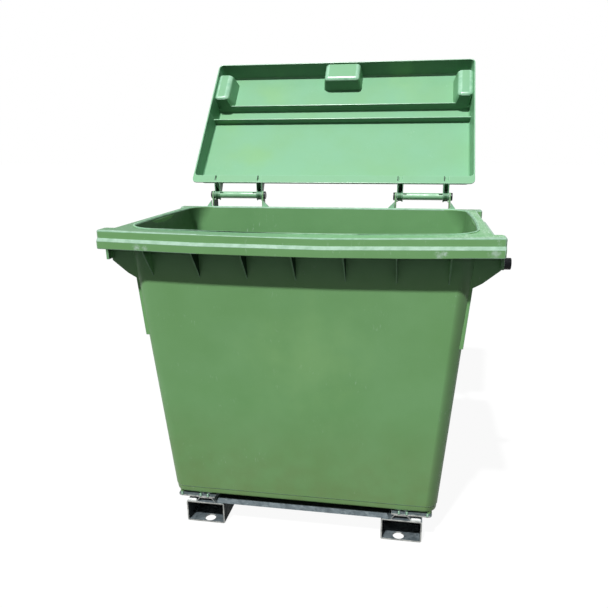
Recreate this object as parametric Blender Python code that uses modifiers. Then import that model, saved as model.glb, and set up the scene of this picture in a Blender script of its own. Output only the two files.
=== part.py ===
"""Forklift waste bin: a moulded 660 litre bin with a flat lid on a galvanised fork pocket frame.

Units are metres, +Z up, X across the bin, Y from the front to the back.
Everything is drawn with the front plane of the rim at Y = 0 and the floor at Z = 0.
The last step moves it back, so that the origin lies under the middle of the whole object.
The lid is drawn closed about its hinge axis and then turned to the position in which it stands.
"""
from math import asin, cos, pi, radians, sin, sqrt

import bmesh
import bpy
from mathutils import Matrix, Vector

# Moulded bin
BODY_DEPTH = 0.729
RIM_TOP = 1.0975
BASE_BOTTOM = 0.115
WALL = 0.006
FLOOR_THICKNESS = 0.006
FLOOR_ROUND = 0.012
BOTTOM_HALF_WIDTH = 0.482
TOP_HALF_WIDTH = 0.555
BOTTOM_FRONT = 0.101
TOP_FRONT = 0.0635
BOTTOM_REAR_SETBACK = 0.089
TOP_REAR_SETBACK = 0.043
BOTTOM_CORNER = 0.043
WALL_CORNER = 0.046
TOP_CORNER = 0.088
FLARE_DROP = 0.070
BOTTOM_EDGE = 0.009
FOOT_BAND = 0.026
FOOT_STEP = 0.0018
LIP_ROUND = 0.006
LIP_OVERRUN = 0.004
BEAD_HEIGHT = 0.004
BEAD_OVERHANG = 0.002
BEAD_ROUND = 0.002
CORNER_STEPS = 7
EDGE_STEPS = 3

# Rim with its front and rear bars
FRONT_BAR_HALF = 0.6225
REAR_BAR_HALF = 0.612
SIDE_RIM_HALF = 0.590
FRONT_BAR_DEPTH = 0.066
REAR_BAR_DEPTH = 0.046
BAND_HEIGHT = 0.0587
LOWER_BAND = 0.0245
LEDGE = 0.009
SKIRT = 0.005
RIM_PLATE = 0.006
RIM_ROUND = 0.006
BAND_EDGE = 0.0012
RIM_CORNER = 0.004

# Sag of the front bar between its corners
RIM_SAG = 0.0110
SAG_HALF = 0.590
SAG_CUTS = 11
SAG_FULL_DEPTH = 0.080
SAG_END_DEPTH = 0.200
SAG_FULL_DROP = 0.078
SAG_END_DROP = 0.168

# Ribs under the bars
RIB_COUNT = 7
RIB_PITCH = 0.1575
RIB_THICKNESS = 0.004
RIB_DROP = 0.159
REAR_RIB_DROP = 0.130
RIB_LIP_DROP = 0.0085
RIB_SETBACK = 0.008
RIB_SEAT = 0.003

# Trunnion housings on the two sides
HOUSING_REACH = 0.037
HOUSING_FRONT = 0.0635
HOUSING_REAR_SETBACK = 0.0435
HOUSING_PLATE = 0.009
HOUSING_ROUND = 0.004
SHELF_DROP = 0.0425
PLATE_DROP = 0.1040
LOBE_RADIUS = 0.036
LOBE_RUN = 0.075
WING_FRONT = 0.096
WING_REAR_SETBACK = 0.074
WING_THICKNESS = 0.005
WING_OUTER_DROP = 0.1120
WING_MIDDLE_HALF = 0.5725
WING_MIDDLE_DROP = 0.1530
WING_KNEE_HALF = 0.5445
WING_KNEE_DROP = 0.1690
WING_ROOT = 0.045
SIDE_RIB_TOP_PROUD = 0.0025
SIDE_RIB_BOTTOM_PROUD = 0.0020
SIDE_RIB_TOP_DROP = 0.1730
SIDE_RIB_BOTTOM_DROP = 0.3665
GUSSET_SPACING = 0.046

# Trunnions
TRUNNION_REACH = 0.058
TRUNNION_DEPTH = 0.338
TRUNNION_DROP = 0.1375
TRUNNION_DIAMETER = 0.040
TRUNNION_CHAMFER = 0.0025
SPIGOT_DIAMETER = 0.026
SPIGOT_REACH = 0.008
COLLAR_DIAMETER = 0.048
COLLAR_THICKNESS = 0.0055
TURN_STEPS = 24

# Hinge lugs on the bin
HINGE_AXIS_REACH = 0.040
HINGE_AXIS_RISE = 0.0420
INNER_LUG = 0.272
OUTER_LUG = 0.487
LUG_THICKNESS = 0.006
LUG_RADIUS = 0.0165
LUG_FRONT = 0.019
LUG_TOP_DROP = 0.0012
INNER_LUG_DEPTH = 0.0565
OUTER_LUG_DEPTH = 0.080
LUG_REAR_RISE = 0.018
LUG_REAR_DROP = 0.018
LUG_SHOULDER = radians(-15.0)
LUG_ROOT_DROP = 0.052
INNER_PAD_WIDTH = 0.027
OUTER_PAD_WIDTH = 0.021
LUG_PAD_DEPTH = 0.018
LUG_GUSSET_RISE = 0.023
LUG_GUSSET_THICKNESS = 0.006
ARC_STEPS = 10

# Hinge pins, caps and sleeves
PIN_DIAMETER = 0.016
PIN_CLEARANCE = 0.0008
PIN_END = 0.0045
CAP_DIAMETER = 0.031
CAP_THICKNESS = 0.0065
CAP_CHAMFER = 0.0015
CAP_FLOOR = 0.0015
SLEEVE_DIAMETER = 0.028
SLEEVE_END_GAP = 0.0007
SLOT_LENGTH = 0.015
SLOT_WIDTH = 0.0035
SLOT_DEPTH = 0.004
SLOT_ANGLE = radians(128.0)

# Lid arms and the stop that holds the lid back
ARM_WIDTH = 0.024
ARM_PLATE = 0.005
ARM_WEB = 0.005
ARM_RADIUS = 0.015
ARM_SIDE_GAP = 0.0015
ARM_SEAT = 0.001
ARM_TOP = 0.040
BOSS_RADIUS = 0.0138
TOE_RADIUS = 0.0215
TOE_ANGLE = radians(43.0)
TOE_HALF_ANGLE = radians(11.0)
ARM_LOWER_ANGLE = radians(-127.0)
ARM_UPPER_ANGLE = radians(98.0)
NOSE_RADIUS = 0.0220
NOSE_CLEARANCE = 0.0009
NOSE_WIDTH = 0.005
NOSE_SPREAD = radians(20.0)

# Lid moulding
LID_ANGLE = radians(133.0)
LID_HALF_WIDTH = 0.5835
LID_LENGTH = 0.682
LID_SETBACK = 0.034
LID_REST_GAP = 0.0015
LID_WALL = 0.0045
LID_LIP = 0.0095
LID_LIP_THICKNESS = 0.005
LID_FRONT_LIP = 0.006
LID_CORNER = 0.020
LID_CORNER_STEPS = 5
LID_TAPER = 0.007
LID_ROUND = 0.007
LID_INNER_ROUND = 0.004
LID_REAR_FLANGE = 0.037
LID_REAR_DEPTH = 0.055
LID_FRONT_DEPTH = 0.070
LID_BAR_DEPTH = 0.085
STEP_SETBACK = 0.292
STEP_RUN = 0.004
BAR_SETBACK = 0.210
BAR_RUN = 0.020
STEP_RIB = 0.005
STEP_RIB_CREST = 0.042
STEP_RIB_SETBACK = 0.004
STEP_RIB_END_GAP = 0.001
BAR_RIB = 0.0045
BAR_RIB_CREST = 0.060
BAR_RIB_HALF = 0.545

# Hand grips of the lid
GRIP_CREST = 0.006
CORNER_GRIP_CREST = 0.004
GRIP_EDGE = 0.017
GRIP_EDGE_STEPS = 3
GRIP_FRONT_SEAT = 0.002
MIDDLE_GRIP_HALF = 0.078
MIDDLE_GRIP_SPREAD = 0.009
MIDDLE_GRIP_SETBACK = 0.098
MIDDLE_GRIP_LEAN = 0.005
CORNER_GRIP_RUN_IN = 0.0715
CORNER_GRIP_SPREAD = 0.018
CORNER_GRIP_BACK_SETBACK = 0.2075
CORNER_GRIP_FRONT_SETBACK = 0.062
CORNER_GRIP_FRONT_LEAN = 0.006
CORNER_GRIP_BACK_LEAN = 0.017
FLANGE_RECESS_MARGIN = 0.010
FLANGE_RECESS_DEPTH = 0.0055

# Fork pockets and cross rails
POCKET_CENTRE = 0.362
POCKET_WIDTH = 0.145
POCKET_HEIGHT = 0.085
POCKET_WALL = 0.005
POCKET_ROUND = 0.006
POCKET_FRONT = 0.089
POCKET_HOLE = 0.040
POCKET_HOLE_SETBACK = 0.024
POCKET_HOLE_CENTRE = 0.353
RAIL_HALF_LENGTH = 0.317
RAIL_HEIGHT = 0.021
RAIL_LEG = 0.003
RAIL_DEPTH = 0.060
RAIL_SETBACK = 0.003
RAIL_END_CUT = 0.007

# Corner plates, hat sections and bolts
PLATE_INNER = 0.325
PLATE_OUTER = 0.467
PLATE_LENGTH = 0.118
PLATE_THICKNESS = 0.005
PLATE_SETBACK = 0.004
PLATE_CORNER = 0.014
BUSH_HEIGHT = 0.007
BUSH_DIAMETER = 0.013
HAT_CENTRE = 0.3595
HAT_HALF_TOP = 0.0235
HAT_LEG_RUN = 0.0125
HAT_THICKNESS = 0.003
BOLT_CENTRE = 0.3645
BOLT_PITCH_X = 0.022
BOLT_PITCH_Y = 0.080
BOLT_SETBACK = 0.0245
BOLT_DIAMETER = 0.006
BOLT_CLEARANCE = 0.0006
BOLT_HEAD = 0.0115
BOLT_HEAD_HEIGHT = 0.004
BOLT_REACH = 0.011
BOLT_TIP_GAP = 0.0015
BOLT_STEPS = 12
HEAD_SIDES = 6
FLOOR_PAD_HEIGHT = 0.012
FLOOR_PAD_MARGIN = 0.014
FLOOR_PAD_SEAT = 0.003
FOOT_RADIUS = 0.008
FOOT_INSET_X = 0.0245
FOOT_INSET_Y = 0.0165
FOOT_RISE = 0.014

# Fits and overruns
CONTACT_GAP = 0.0003
OVERRUN = 0.010
WELD_DISTANCE = 0.000001
SMOOTH_ANGLE = radians(35.0)
QUARTER = pi / 2

# Places worked out from the sizes above
BOTTOM_REAR = BODY_DEPTH - BOTTOM_REAR_SETBACK
TOP_REAR = BODY_DEPTH - TOP_REAR_SETBACK
HOUSING_REAR = BODY_DEPTH - HOUSING_REAR_SETBACK
WING_REAR = BODY_DEPTH - WING_REAR_SETBACK
HINGE_AXIS_Y = BODY_DEPTH + HINGE_AXIS_REACH
AXIS_Z = RIM_TOP + HINGE_AXIS_RISE
BAND_BOTTOM = RIM_TOP - BAND_HEIGHT
LEDGE_BOTTOM = BAND_BOTTOM + LOWER_BAND
LEDGE_TOP = LEDGE_BOTTOM + LEDGE
RIM_SEAT = RIM_TOP - RIM_PLATE / 2
TRUNNION_Z = RIM_TOP - TRUNNION_DROP
HOUSING_HALF = SIDE_RIM_HALF + HOUSING_REACH
STEP_START = LID_LENGTH - STEP_SETBACK
BAR_END = LID_LENGTH - BAR_SETBACK
MIDDLE_GRIP_BACK = LID_LENGTH - MIDDLE_GRIP_SETBACK
CORNER_GRIP_BACK = LID_LENGTH - CORNER_GRIP_BACK_SETBACK
CORNER_GRIP_FRONT = LID_LENGTH - CORNER_GRIP_FRONT_SETBACK
CORNER_GRIP_INNER = LID_HALF_WIDTH - CORNER_GRIP_RUN_IN
ARM_INNER = INNER_LUG + LUG_THICKNESS + ARM_SIDE_GAP
ARM_OUTER = OUTER_LUG - ARM_SIDE_GAP - ARM_WIDTH
PLATE_TOP = BASE_BOTTOM - CONTACT_GAP - BUSH_HEIGHT
PLATE_BOTTOM = PLATE_TOP - PLATE_THICKNESS
HAT_TOP = PLATE_BOTTOM - CONTACT_GAP
HAT_BOTTOM = POCKET_HEIGHT + CONTACT_GAP
POCKET_REAR = BOTTOM_FRONT + BOTTOM_REAR - POCKET_FRONT
PLATE_FRONT = POCKET_FRONT + PLATE_SETBACK
PLATE_REAR = POCKET_REAR - PLATE_SETBACK
LID_PLANE = LID_REST_GAP - HINGE_AXIS_RISE
SIDES = (("left", -1), ("right", 1))
ENDS = ("front", "rear")

# Finishes of the pieces: colour, roughness, metallic
GREEN_PLASTIC = ("green_moulded_plastic", (0.125, 0.305, 0.135), 0.42, 0.0)
BLACK_PLASTIC = ("black_moulded_plastic", (0.012, 0.012, 0.013), 0.45, 0.0)
GALVANISED = ("galvanised_steel", (0.36, 0.40, 0.42), 0.45, 0.9)
ZINC_PLATED = ("zinc_plated_steel", (0.55, 0.56, 0.55), 0.35, 0.9)


def clear_scene():
    """Take every object out of the scene."""
    for thing in list(bpy.data.objects):
        bpy.data.objects.remove(thing, do_unlink=True)


def new_collection(name):
    """Add a collection to the scene."""
    group = bpy.data.collections.new(name)
    bpy.context.scene.collection.children.link(group)
    return group


clear_scene()
PARTS = new_collection("forklift_waste_bin")
CUTTERS = new_collection("cutters")


# Making and joining forms

def add_form(name, form, group):
    """Turn a closed bmesh into an object."""
    bmesh.ops.recalc_face_normals(form, faces=form.faces)
    mesh = bpy.data.meshes.new(name)
    form.to_mesh(mesh)
    form.free()
    thing = bpy.data.objects.new(name, mesh)
    group.objects.link(thing)
    if group is CUTTERS:
        thing.hide_render = True
        thing.display_type = "WIRE"
    return thing


def settle(thing):
    """Replace an object's mesh by its evaluated one and drop its modifiers."""
    bpy.context.view_layer.update()
    graph = bpy.context.evaluated_depsgraph_get()
    mesh = bpy.data.meshes.new_from_object(thing.evaluated_get(graph))
    thing.modifiers.clear()
    thing.data = mesh
    return thing


def combine(thing, tool, operation):
    """Join a form to an object, or cut it away."""
    change = thing.modifiers.new(tool.name, "BOOLEAN")
    change.operation = operation
    change.solver = "EXACT"
    change.object = tool
    settle(thing)
    bpy.data.objects.remove(tool, do_unlink=True)


def join(thing, tool):
    """Weld a form onto an object."""
    combine(thing, tool, "UNION")


def cut(thing, tool):
    """Take a form out of an object."""
    combine(thing, tool, "DIFFERENCE")


def loft(name, rings, group):
    """Skin a closed form over rings that have as many points each."""
    form = bmesh.new()
    loops = [[form.verts.new(point) for point in ring] for ring in rings]
    count = len(loops[0])
    for low, high in zip(loops, loops[1:]):
        for here in range(count):
            after = (here + 1) % count
            form.faces.new((low[here], low[after], high[after], high[here]))
    form.faces.new(loops[0])
    form.faces.new(loops[-1])
    return add_form(name, form, group)


def block(name, low, high, group):
    """A box between two corners."""
    form = bmesh.new()
    size = Vector(high) - Vector(low)
    middle = (Vector(high) + Vector(low)) / 2
    place = Matrix.Translation(middle) @ Matrix.Diagonal((*size, 1))
    bmesh.ops.create_cube(form, size=1, matrix=place)
    return add_form(name, form, group)


def rod(name, radius, start, length, axis, steps, group):
    """A round bar from a start point along the X or the Z axis."""
    form = bmesh.new()
    turn = Matrix.Rotation(QUARTER, 4, "Y") if axis == "X" else Matrix.Identity(4)
    place = Matrix.Translation(start) @ turn @ Matrix.Translation((0, 0, length / 2))
    bmesh.ops.create_cone(form, cap_ends=True, segments=steps, radius1=radius, radius2=radius,
                          depth=length, matrix=place)
    return add_form(name, form, group)


def flat_piece(name, outlines, thickness, place, group):
    """Extrude flat outlines to a thickness and put the plate in place; inner outlines are holes."""
    curve = bpy.data.curves.new(name, "CURVE")
    curve.dimensions = "2D"
    curve.fill_mode = "BOTH"
    curve.extrude = thickness / 2
    for outline in outlines:
        spline = curve.splines.new("POLY")
        spline.points.add(len(outline) - 1)
        for point, (across, along) in zip(spline.points, outline):
            point.co = (across, along, 0, 1)
        spline.use_cyclic_u = True
    drawn = bpy.data.objects.new(name + "_outline", curve)
    group.objects.link(drawn)
    bpy.context.view_layer.update()
    graph = bpy.context.evaluated_depsgraph_get()
    mesh = bpy.data.meshes.new_from_object(drawn.evaluated_get(graph))
    bpy.data.objects.remove(drawn, do_unlink=True)
    form = bmesh.new()
    form.from_mesh(mesh)
    bmesh.ops.remove_doubles(form, verts=form.verts, dist=WELD_DISTANCE)
    form.transform(place)
    return add_form(name, form, group)


def facing_x(across):
    """Place an outline drawn in Y and Z at a distance across the bin."""
    return Matrix(((0, 0, 1, across), (1, 0, 0, 0), (0, 1, 0, 0), (0, 0, 0, 1)))


def facing_y(depth):
    """Place an outline drawn in X and Z at a depth from the front."""
    return Matrix(((1, 0, 0, 0), (0, 0, -1, depth), (0, 1, 0, 0), (0, 0, 0, 1)))


def facing_z(height):
    """Place an outline drawn in X and Y at a height."""
    return Matrix.Translation((0, 0, height))


def turned(name, profile, steps, group):
    """Revolve a profile of distance along X and radius, drawn with its outer side first."""
    mesh = bpy.data.meshes.new(name)
    points = [(radius, 0, -along) for along, radius in profile]
    edges = [(here, here + 1) for here in range(len(points) - 1)]
    mesh.from_pydata(points, edges, [])
    thing = bpy.data.objects.new(name, mesh)
    group.objects.link(thing)
    screw = thing.modifiers.new("turn", "SCREW")
    screw.axis = "Z"
    screw.steps = steps
    screw.render_steps = steps
    screw.use_merge_vertices = True
    screw.merge_threshold = WELD_DISTANCE
    settle(thing)
    thing.data.transform(Matrix.Rotation(-QUARTER, 4, "Y"))
    form = bmesh.new()
    form.from_mesh(thing.data)
    bpy.data.objects.remove(thing, do_unlink=True)
    bmesh.ops.remove_doubles(form, verts=form.verts, dist=WELD_DISTANCE)
    return add_form(name, form, group)


def arc(centre, radius, start, end, steps):
    """Points of an arc, its two ends included."""
    turns = [start + (end - start) * step / steps for step in range(steps + 1)]
    return [(centre[0] + radius * cos(turn), centre[1] + radius * sin(turn)) for turn in turns]


def circle(centre, radius, steps):
    """Points of a whole circle."""
    return arc(centre, radius, 0, 2 * pi, steps)[:-1]


def mirrored(outline):
    """An outline seen from the other side of the bin."""
    return [(-across, along) for across, along in outline]


def finish(thing, material, smooth=False):
    """Give an object its material and, on a round piece, smooth shading."""
    title, colour, roughness, metallic = material
    paint = bpy.data.materials.get(title) or bpy.data.materials.new(title)
    paint.use_nodes = True
    shader = paint.node_tree.nodes["Principled BSDF"]
    shader.inputs["Base Color"].default_value = (*colour, 1)
    shader.inputs["Roughness"].default_value = roughness
    shader.inputs["Metallic"].default_value = metallic
    thing.data.materials.clear()
    thing.data.materials.append(paint)
    if smooth:
        thing.data.shade_smooth()
        thing.data.set_sharp_from_angle(angle=SMOOTH_ANGLE)
    return thing


# Walls of the bin

def share_at(height):
    """How far up the tapered wall a height lies, from 0 at the bottom to 1 at the rim."""
    return (height - BASE_BOTTOM) / (RIM_TOP - BASE_BOTTOM)


def between(low, high, share):
    """A size between two others."""
    return low + (high - low) * share


def half_at(height):
    """Half width of the wall's outside at a height."""
    return between(BOTTOM_HALF_WIDTH, TOP_HALF_WIDTH, share_at(height))


def front_at(height):
    """Depth of the front wall's outside at a height."""
    return between(BOTTOM_FRONT, TOP_FRONT, share_at(height))


def rear_at(height):
    """Depth of the rear wall's outside at a height."""
    return between(BOTTOM_REAR, TOP_REAR, share_at(height))


def corner_at(height):
    """Radius of the wall's corners at a height: under the rim they widen to the round mouth."""
    start = RIM_TOP - FLARE_DROP
    if height <= start:
        return between(BOTTOM_CORNER, WALL_CORNER, (height - BASE_BOTTOM) / (start - BASE_BOTTOM))
    return between(WALL_CORNER, TOP_CORNER, (height - start) / FLARE_DROP)


def wall_ring(height, inset):
    """A rounded rectangle round the bin, a distance inside the wall's outside."""
    half = half_at(height) - inset
    front = front_at(height) + inset
    rear = rear_at(height) - inset
    corner = corner_at(height) - inset
    centres = ((half - corner, front + corner), (half - corner, rear - corner),
               (corner - half, rear - corner), (corner - half, front + corner))
    ring = []
    for number, centre in enumerate(centres):
        start = QUARTER * (number - 1)
        for across, along in arc(centre, corner, start, start + QUARTER, CORNER_STEPS):
            ring.append((across, along, height))
    return ring


def edge_turns(steps):
    """Angles of a rounded edge, from its flat start to its upright end."""
    return [QUARTER * step / steps for step in range(steps + 1)]


def outer_wall():
    """The bin's outside, from its rounded bottom edge to inside the rim."""
    rings = []
    for turn in edge_turns(EDGE_STEPS):
        rise = BOTTOM_EDGE * (1 - cos(turn))
        inset = BOTTOM_EDGE * (1 - sin(turn))
        rings.append(wall_ring(BASE_BOTTOM + rise, FOOT_STEP + inset))
    rings.append(wall_ring(BASE_BOTTOM + FOOT_BAND - FOOT_STEP, FOOT_STEP))
    rings.append(wall_ring(BASE_BOTTOM + FOOT_BAND, 0))
    rings.append(wall_ring(RIM_TOP - SAG_END_DROP, 0))
    rings.append(wall_ring(RIM_TOP - FLARE_DROP, 0))
    rings.append(wall_ring(RIM_SEAT, 0))
    return loft("body_shell", rings, PARTS)


def inner_hollow():
    """The space inside the bin, with its rounded floor edge and its rounded lip."""
    rings = []
    floor = BASE_BOTTOM + FLOOR_THICKNESS
    for turn in edge_turns(EDGE_STEPS):
        rise = FLOOR_ROUND * (1 - cos(turn))
        inset = FLOOR_ROUND * (1 - sin(turn))
        rings.append(wall_ring(floor + rise, FOOT_STEP + WALL + inset))
    rings.append(wall_ring(BASE_BOTTOM + FOOT_BAND, WALL))
    rings.append(wall_ring(RIM_TOP - FLARE_DROP, WALL))
    crest = RIM_TOP + BEAD_HEIGHT
    rings.append(wall_ring(crest - LIP_ROUND, WALL))
    turns = edge_turns(EDGE_STEPS)[1:-1]
    for turn in turns:
        drop = LIP_ROUND * (1 - sin(turn))
        spread = LIP_ROUND * (1 - cos(turn))
        rings.append(wall_ring(crest - drop, WALL - spread))
    slope = sin(turns[-1]) / cos(turns[-1])
    rings.append(wall_ring(crest + LIP_OVERRUN, WALL - spread - (drop + LIP_OVERRUN) * slope))
    return loft("inner_hollow", rings, CUTTERS)


def rim_bead():
    """The bead that stands up round the opening, inside the lid's lip."""
    rings = [wall_ring(RIM_SEAT, -BEAD_OVERHANG)]
    for turn in edge_turns(EDGE_STEPS):
        drop = BEAD_ROUND * (1 - sin(turn))
        inset = BEAD_ROUND * (1 - cos(turn))
        rings.append(wall_ring(RIM_TOP + BEAD_HEIGHT - drop, inset - BEAD_OVERHANG))
    return loft("rim_bead", rings, CUTTERS)


# Rim

def rim_ring(inset, height, step=0):
    """The rim's outline with its bar ends, moved in by a distance; only its long faces step in."""
    front_half = FRONT_BAR_HALF - inset
    rear_half = REAR_BAR_HALF - inset
    side = SIDE_RIM_HALF - inset
    front = step + inset
    front_back = FRONT_BAR_DEPTH - inset
    rear_face = BODY_DEPTH - REAR_BAR_DEPTH + inset
    rear = BODY_DEPTH - step - inset
    right = [
        (front_half - RIM_CORNER, front),
        (front_half, front + RIM_CORNER),
        (front_half, front_back - RIM_CORNER),
        (front_half - RIM_CORNER, front_back),
        (side, front_back),
        (side, rear_face),
        (rear_half - RIM_CORNER, rear_face),
        (rear_half, rear_face + RIM_CORNER),
        (rear_half, rear - RIM_CORNER),
        (rear_half - RIM_CORNER, rear),
    ]
    outline = right + list(reversed(mirrored(right)))
    return [(across, along, height) for across, along in outline]


def rim():
    """The rim: a top plate with a stepped skirt, hollow from below."""
    rings = [
        rim_ring(BAND_EDGE, BAND_BOTTOM),
        rim_ring(0, BAND_BOTTOM + BAND_EDGE),
        rim_ring(0, LEDGE_BOTTOM),
        rim_ring(0, LEDGE_TOP, LEDGE),
    ]
    for turn in edge_turns(EDGE_STEPS):
        drop = RIM_ROUND * (1 - sin(turn))
        inset = RIM_ROUND * (1 - cos(turn))
        rings.append(rim_ring(inset, RIM_TOP - drop, LEDGE))
    frame = loft("rim", rings, CUTTERS)
    ledge_shift = SKIRT * (sqrt(2) - 1)
    hollow = loft("rim_hollow", [
        rim_ring(SKIRT, BAND_BOTTOM - OVERRUN),
        rim_ring(SKIRT, LEDGE_BOTTOM - ledge_shift),
        rim_ring(SKIRT, LEDGE_TOP - ledge_shift, LEDGE),
        rim_ring(SKIRT, RIM_TOP - RIM_PLATE, LEDGE),
    ], CUTTERS)
    cut(frame, hollow)
    return frame


def rib_outline(skirt_face, inward, wall, tip_drop):
    """A rib that hangs in the hollow bar, from inside the skirt to its tip on the wall."""
    low = skirt_face + inward * SKIRT / 2
    high = skirt_face + inward * (LEDGE + SKIRT / 2)
    tip = RIM_TOP - tip_drop
    return [
        (high, RIM_SEAT),
        (high, LEDGE_TOP - SKIRT / 2),
        (low, LEDGE_BOTTOM - SKIRT / 2),
        (low, BAND_BOTTOM + SKIRT / 2),
        (skirt_face + inward * RIB_SETBACK, BAND_BOTTOM - RIB_LIP_DROP),
        (wall(tip) + inward * RIB_SEAT, tip),
        (wall(RIM_SEAT) + inward * RIB_SEAT, RIM_SEAT),
    ]


def add_ribs(body):
    """Weld the ribs under the front and the rear bar."""
    front = rib_outline(0, 1, front_at, RIB_DROP)
    rear = rib_outline(BODY_DEPTH, -1, rear_at, REAR_RIB_DROP)
    for number in range(RIB_COUNT):
        across = RIB_PITCH * (number - (RIB_COUNT - 1) / 2)
        for outline in (front, rear):
            join(body, flat_piece("rib", [outline], RIB_THICKNESS, facing_x(across), CUTTERS))


# Trunnion housings

def housing_shell(side):
    """The shelf and the outer plate of a housing, in one bend."""
    shelf = RIM_TOP - SHELF_DROP
    bottom = TRUNNION_Z - LOBE_RADIUS
    inner = SIDE_RIM_HALF - SKIRT / 2
    centre = (HOUSING_HALF - HOUSING_ROUND, shelf - HOUSING_ROUND)
    corner = arc(centre, HOUSING_ROUND, QUARTER, 0, EDGE_STEPS)
    outline = [(inner, shelf)] + corner + [
        (HOUSING_HALF, bottom),
        (HOUSING_HALF - HOUSING_PLATE, bottom),
        (HOUSING_HALF - HOUSING_PLATE, shelf - HOUSING_PLATE),
        (inner, shelf - HOUSING_PLATE),
    ]
    if side < 0:
        outline = mirrored(outline)
    length = HOUSING_REAR - HOUSING_FRONT
    middle = (HOUSING_REAR + HOUSING_FRONT) / 2
    return flat_piece("housing", [outline], length, facing_y(middle), CUTTERS)


def housing_trim():
    """What is cut from below the outer plates, leaving a lobe round each trunnion."""
    edge = RIM_TOP - PLATE_DROP
    below = TRUNNION_Z - LOBE_RADIUS - OVERRUN
    centre = (TRUNNION_DEPTH, TRUNNION_Z)
    lobe = arc(centre, LOBE_RADIUS, -QUARTER / 2 - QUARTER, -QUARTER / 2, ARC_STEPS)
    outline = [(HOUSING_FRONT - OVERRUN, edge), (TRUNNION_DEPTH - LOBE_RUN, edge)] + lobe + [
        (TRUNNION_DEPTH + LOBE_RUN, edge),
        (HOUSING_REAR + OVERRUN, edge),
        (HOUSING_REAR + OVERRUN, below),
        (HOUSING_FRONT - OVERRUN, below),
    ]
    return outline


def wing_outline(with_side_rib):
    """A web between the wall and the outer plate; the end webs run down into a side rib."""
    shelf = RIM_TOP - SHELF_DROP - HOUSING_PLATE / 2
    plate = HOUSING_HALF - HOUSING_PLATE / 2
    knee = RIM_TOP - WING_KNEE_DROP
    low = RIM_TOP - (SIDE_RIB_BOTTOM_DROP if with_side_rib else WING_KNEE_DROP)
    outline = [
        (half_at(shelf) - WING_ROOT, shelf),
        (plate, shelf),
        (plate, RIM_TOP - WING_OUTER_DROP),
        (WING_MIDDLE_HALF, RIM_TOP - WING_MIDDLE_DROP),
        (WING_KNEE_HALF, knee),
    ]
    if with_side_rib:
        top = RIM_TOP - SIDE_RIB_TOP_DROP
        outline.append((half_at(top) + SIDE_RIB_TOP_PROUD, top))
        outline.append((half_at(low) + SIDE_RIB_BOTTOM_PROUD, low))
    outline.append((half_at(low) - WING_ROOT, low))
    return outline


def add_housings(body):
    """Weld a trunnion housing onto each side."""
    depths = ((WING_FRONT, True), (TRUNNION_DEPTH - GUSSET_SPACING, False),
              (TRUNNION_DEPTH + GUSSET_SPACING, False), (WING_REAR, True))
    for title, side in SIDES:
        shell = housing_shell(side)
        plate = side * (HOUSING_HALF - HOUSING_PLATE / 2)
        trim = flat_piece("trim", [housing_trim()], HOUSING_PLATE + OVERRUN, facing_x(plate), CUTTERS)
        cut(shell, trim)
        join(body, shell)
        for depth, with_side_rib in depths:
            outline = wing_outline(with_side_rib)
            if side < 0:
                outline = mirrored(outline)
            join(body, flat_piece("web", [outline], WING_THICKNESS, facing_y(depth), CUTTERS))
        start = (side * HOUSING_HALF - HOUSING_PLATE - OVERRUN, TRUNNION_DEPTH, TRUNNION_Z)
        length = 2 * (HOUSING_PLATE + OVERRUN)
        radius = SPIGOT_DIAMETER / 2 + CONTACT_GAP
        cut(body, rod("spigot_hole", radius, start, length, "X", TURN_STEPS, CUTTERS))


# Hinge lugs

def lug_outline(depth):
    """A hinge lug from the side: an ear round the pin on a root behind the rear bar."""
    axis = (HINGE_AXIS_Y, AXIS_Z)
    upper_root = BODY_DEPTH - LEDGE - SKIRT / 2
    lower_root = BODY_DEPTH - SKIRT / 2
    return arc(axis, LUG_RADIUS, LUG_SHOULDER, pi, ARC_STEPS) + [
        (HINGE_AXIS_Y - LUG_FRONT, RIM_TOP - LUG_TOP_DROP),
        (upper_root, RIM_SEAT),
        (upper_root, LEDGE_TOP),
        (lower_root, LEDGE_BOTTOM),
        (lower_root, RIM_TOP - LUG_ROOT_DROP),
        (BODY_DEPTH + depth, RIM_TOP - LUG_REAR_DROP),
        (BODY_DEPTH + depth, RIM_TOP + LUG_REAR_RISE),
    ]


def lug_pad(inner, outward, width):
    """The moulded block behind the rear bar that a lug stands on."""
    root = BODY_DEPTH - SKIRT / 2
    start = inner + outward * LUG_THICKNESS / 2
    across = sorted((start, start + outward * width))
    low = (across[0], root, RIM_TOP - LUG_ROOT_DROP + SKIRT)
    high = (across[1], BODY_DEPTH + LUG_PAD_DEPTH, RIM_TOP - 2 * LUG_TOP_DROP)
    return block("lug_pad", low, high, CUTTERS)


def lug_gusset(inner, outward, width):
    """The triangular foot beside a lug, on its pad."""
    start = inner + outward * LUG_THICKNESS / 2
    end = start + outward * (width - SKIRT / 2)
    foot = RIM_TOP - LUG_TOP_DROP - SKIRT
    outline = [(start, foot), (end, foot), (end, RIM_TOP), (start, RIM_TOP + LUG_GUSSET_RISE)]
    depth = BODY_DEPTH + LUG_PAD_DEPTH - LUG_GUSSET_THICKNESS / 2 - SKIRT / 2
    return flat_piece("lug_gusset", [outline], LUG_GUSSET_THICKNESS, facing_y(depth), CUTTERS)


def nose_outline():
    """The stop on a lug, just in front of where the arm's toe stands when the lid is back."""
    axis = (HINGE_AXIS_Y, AXIS_Z)
    inner = ARM_RADIUS + NOSE_CLEARANCE
    toe = TOE_ANGLE - LID_ANGLE - TOE_HALF_ANGLE
    end = toe - CONTACT_GAP / inner
    start = end - NOSE_SPREAD
    return arc(axis, inner, start, end, EDGE_STEPS) + arc(axis, NOSE_RADIUS, end, start, EDGE_STEPS)


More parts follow.
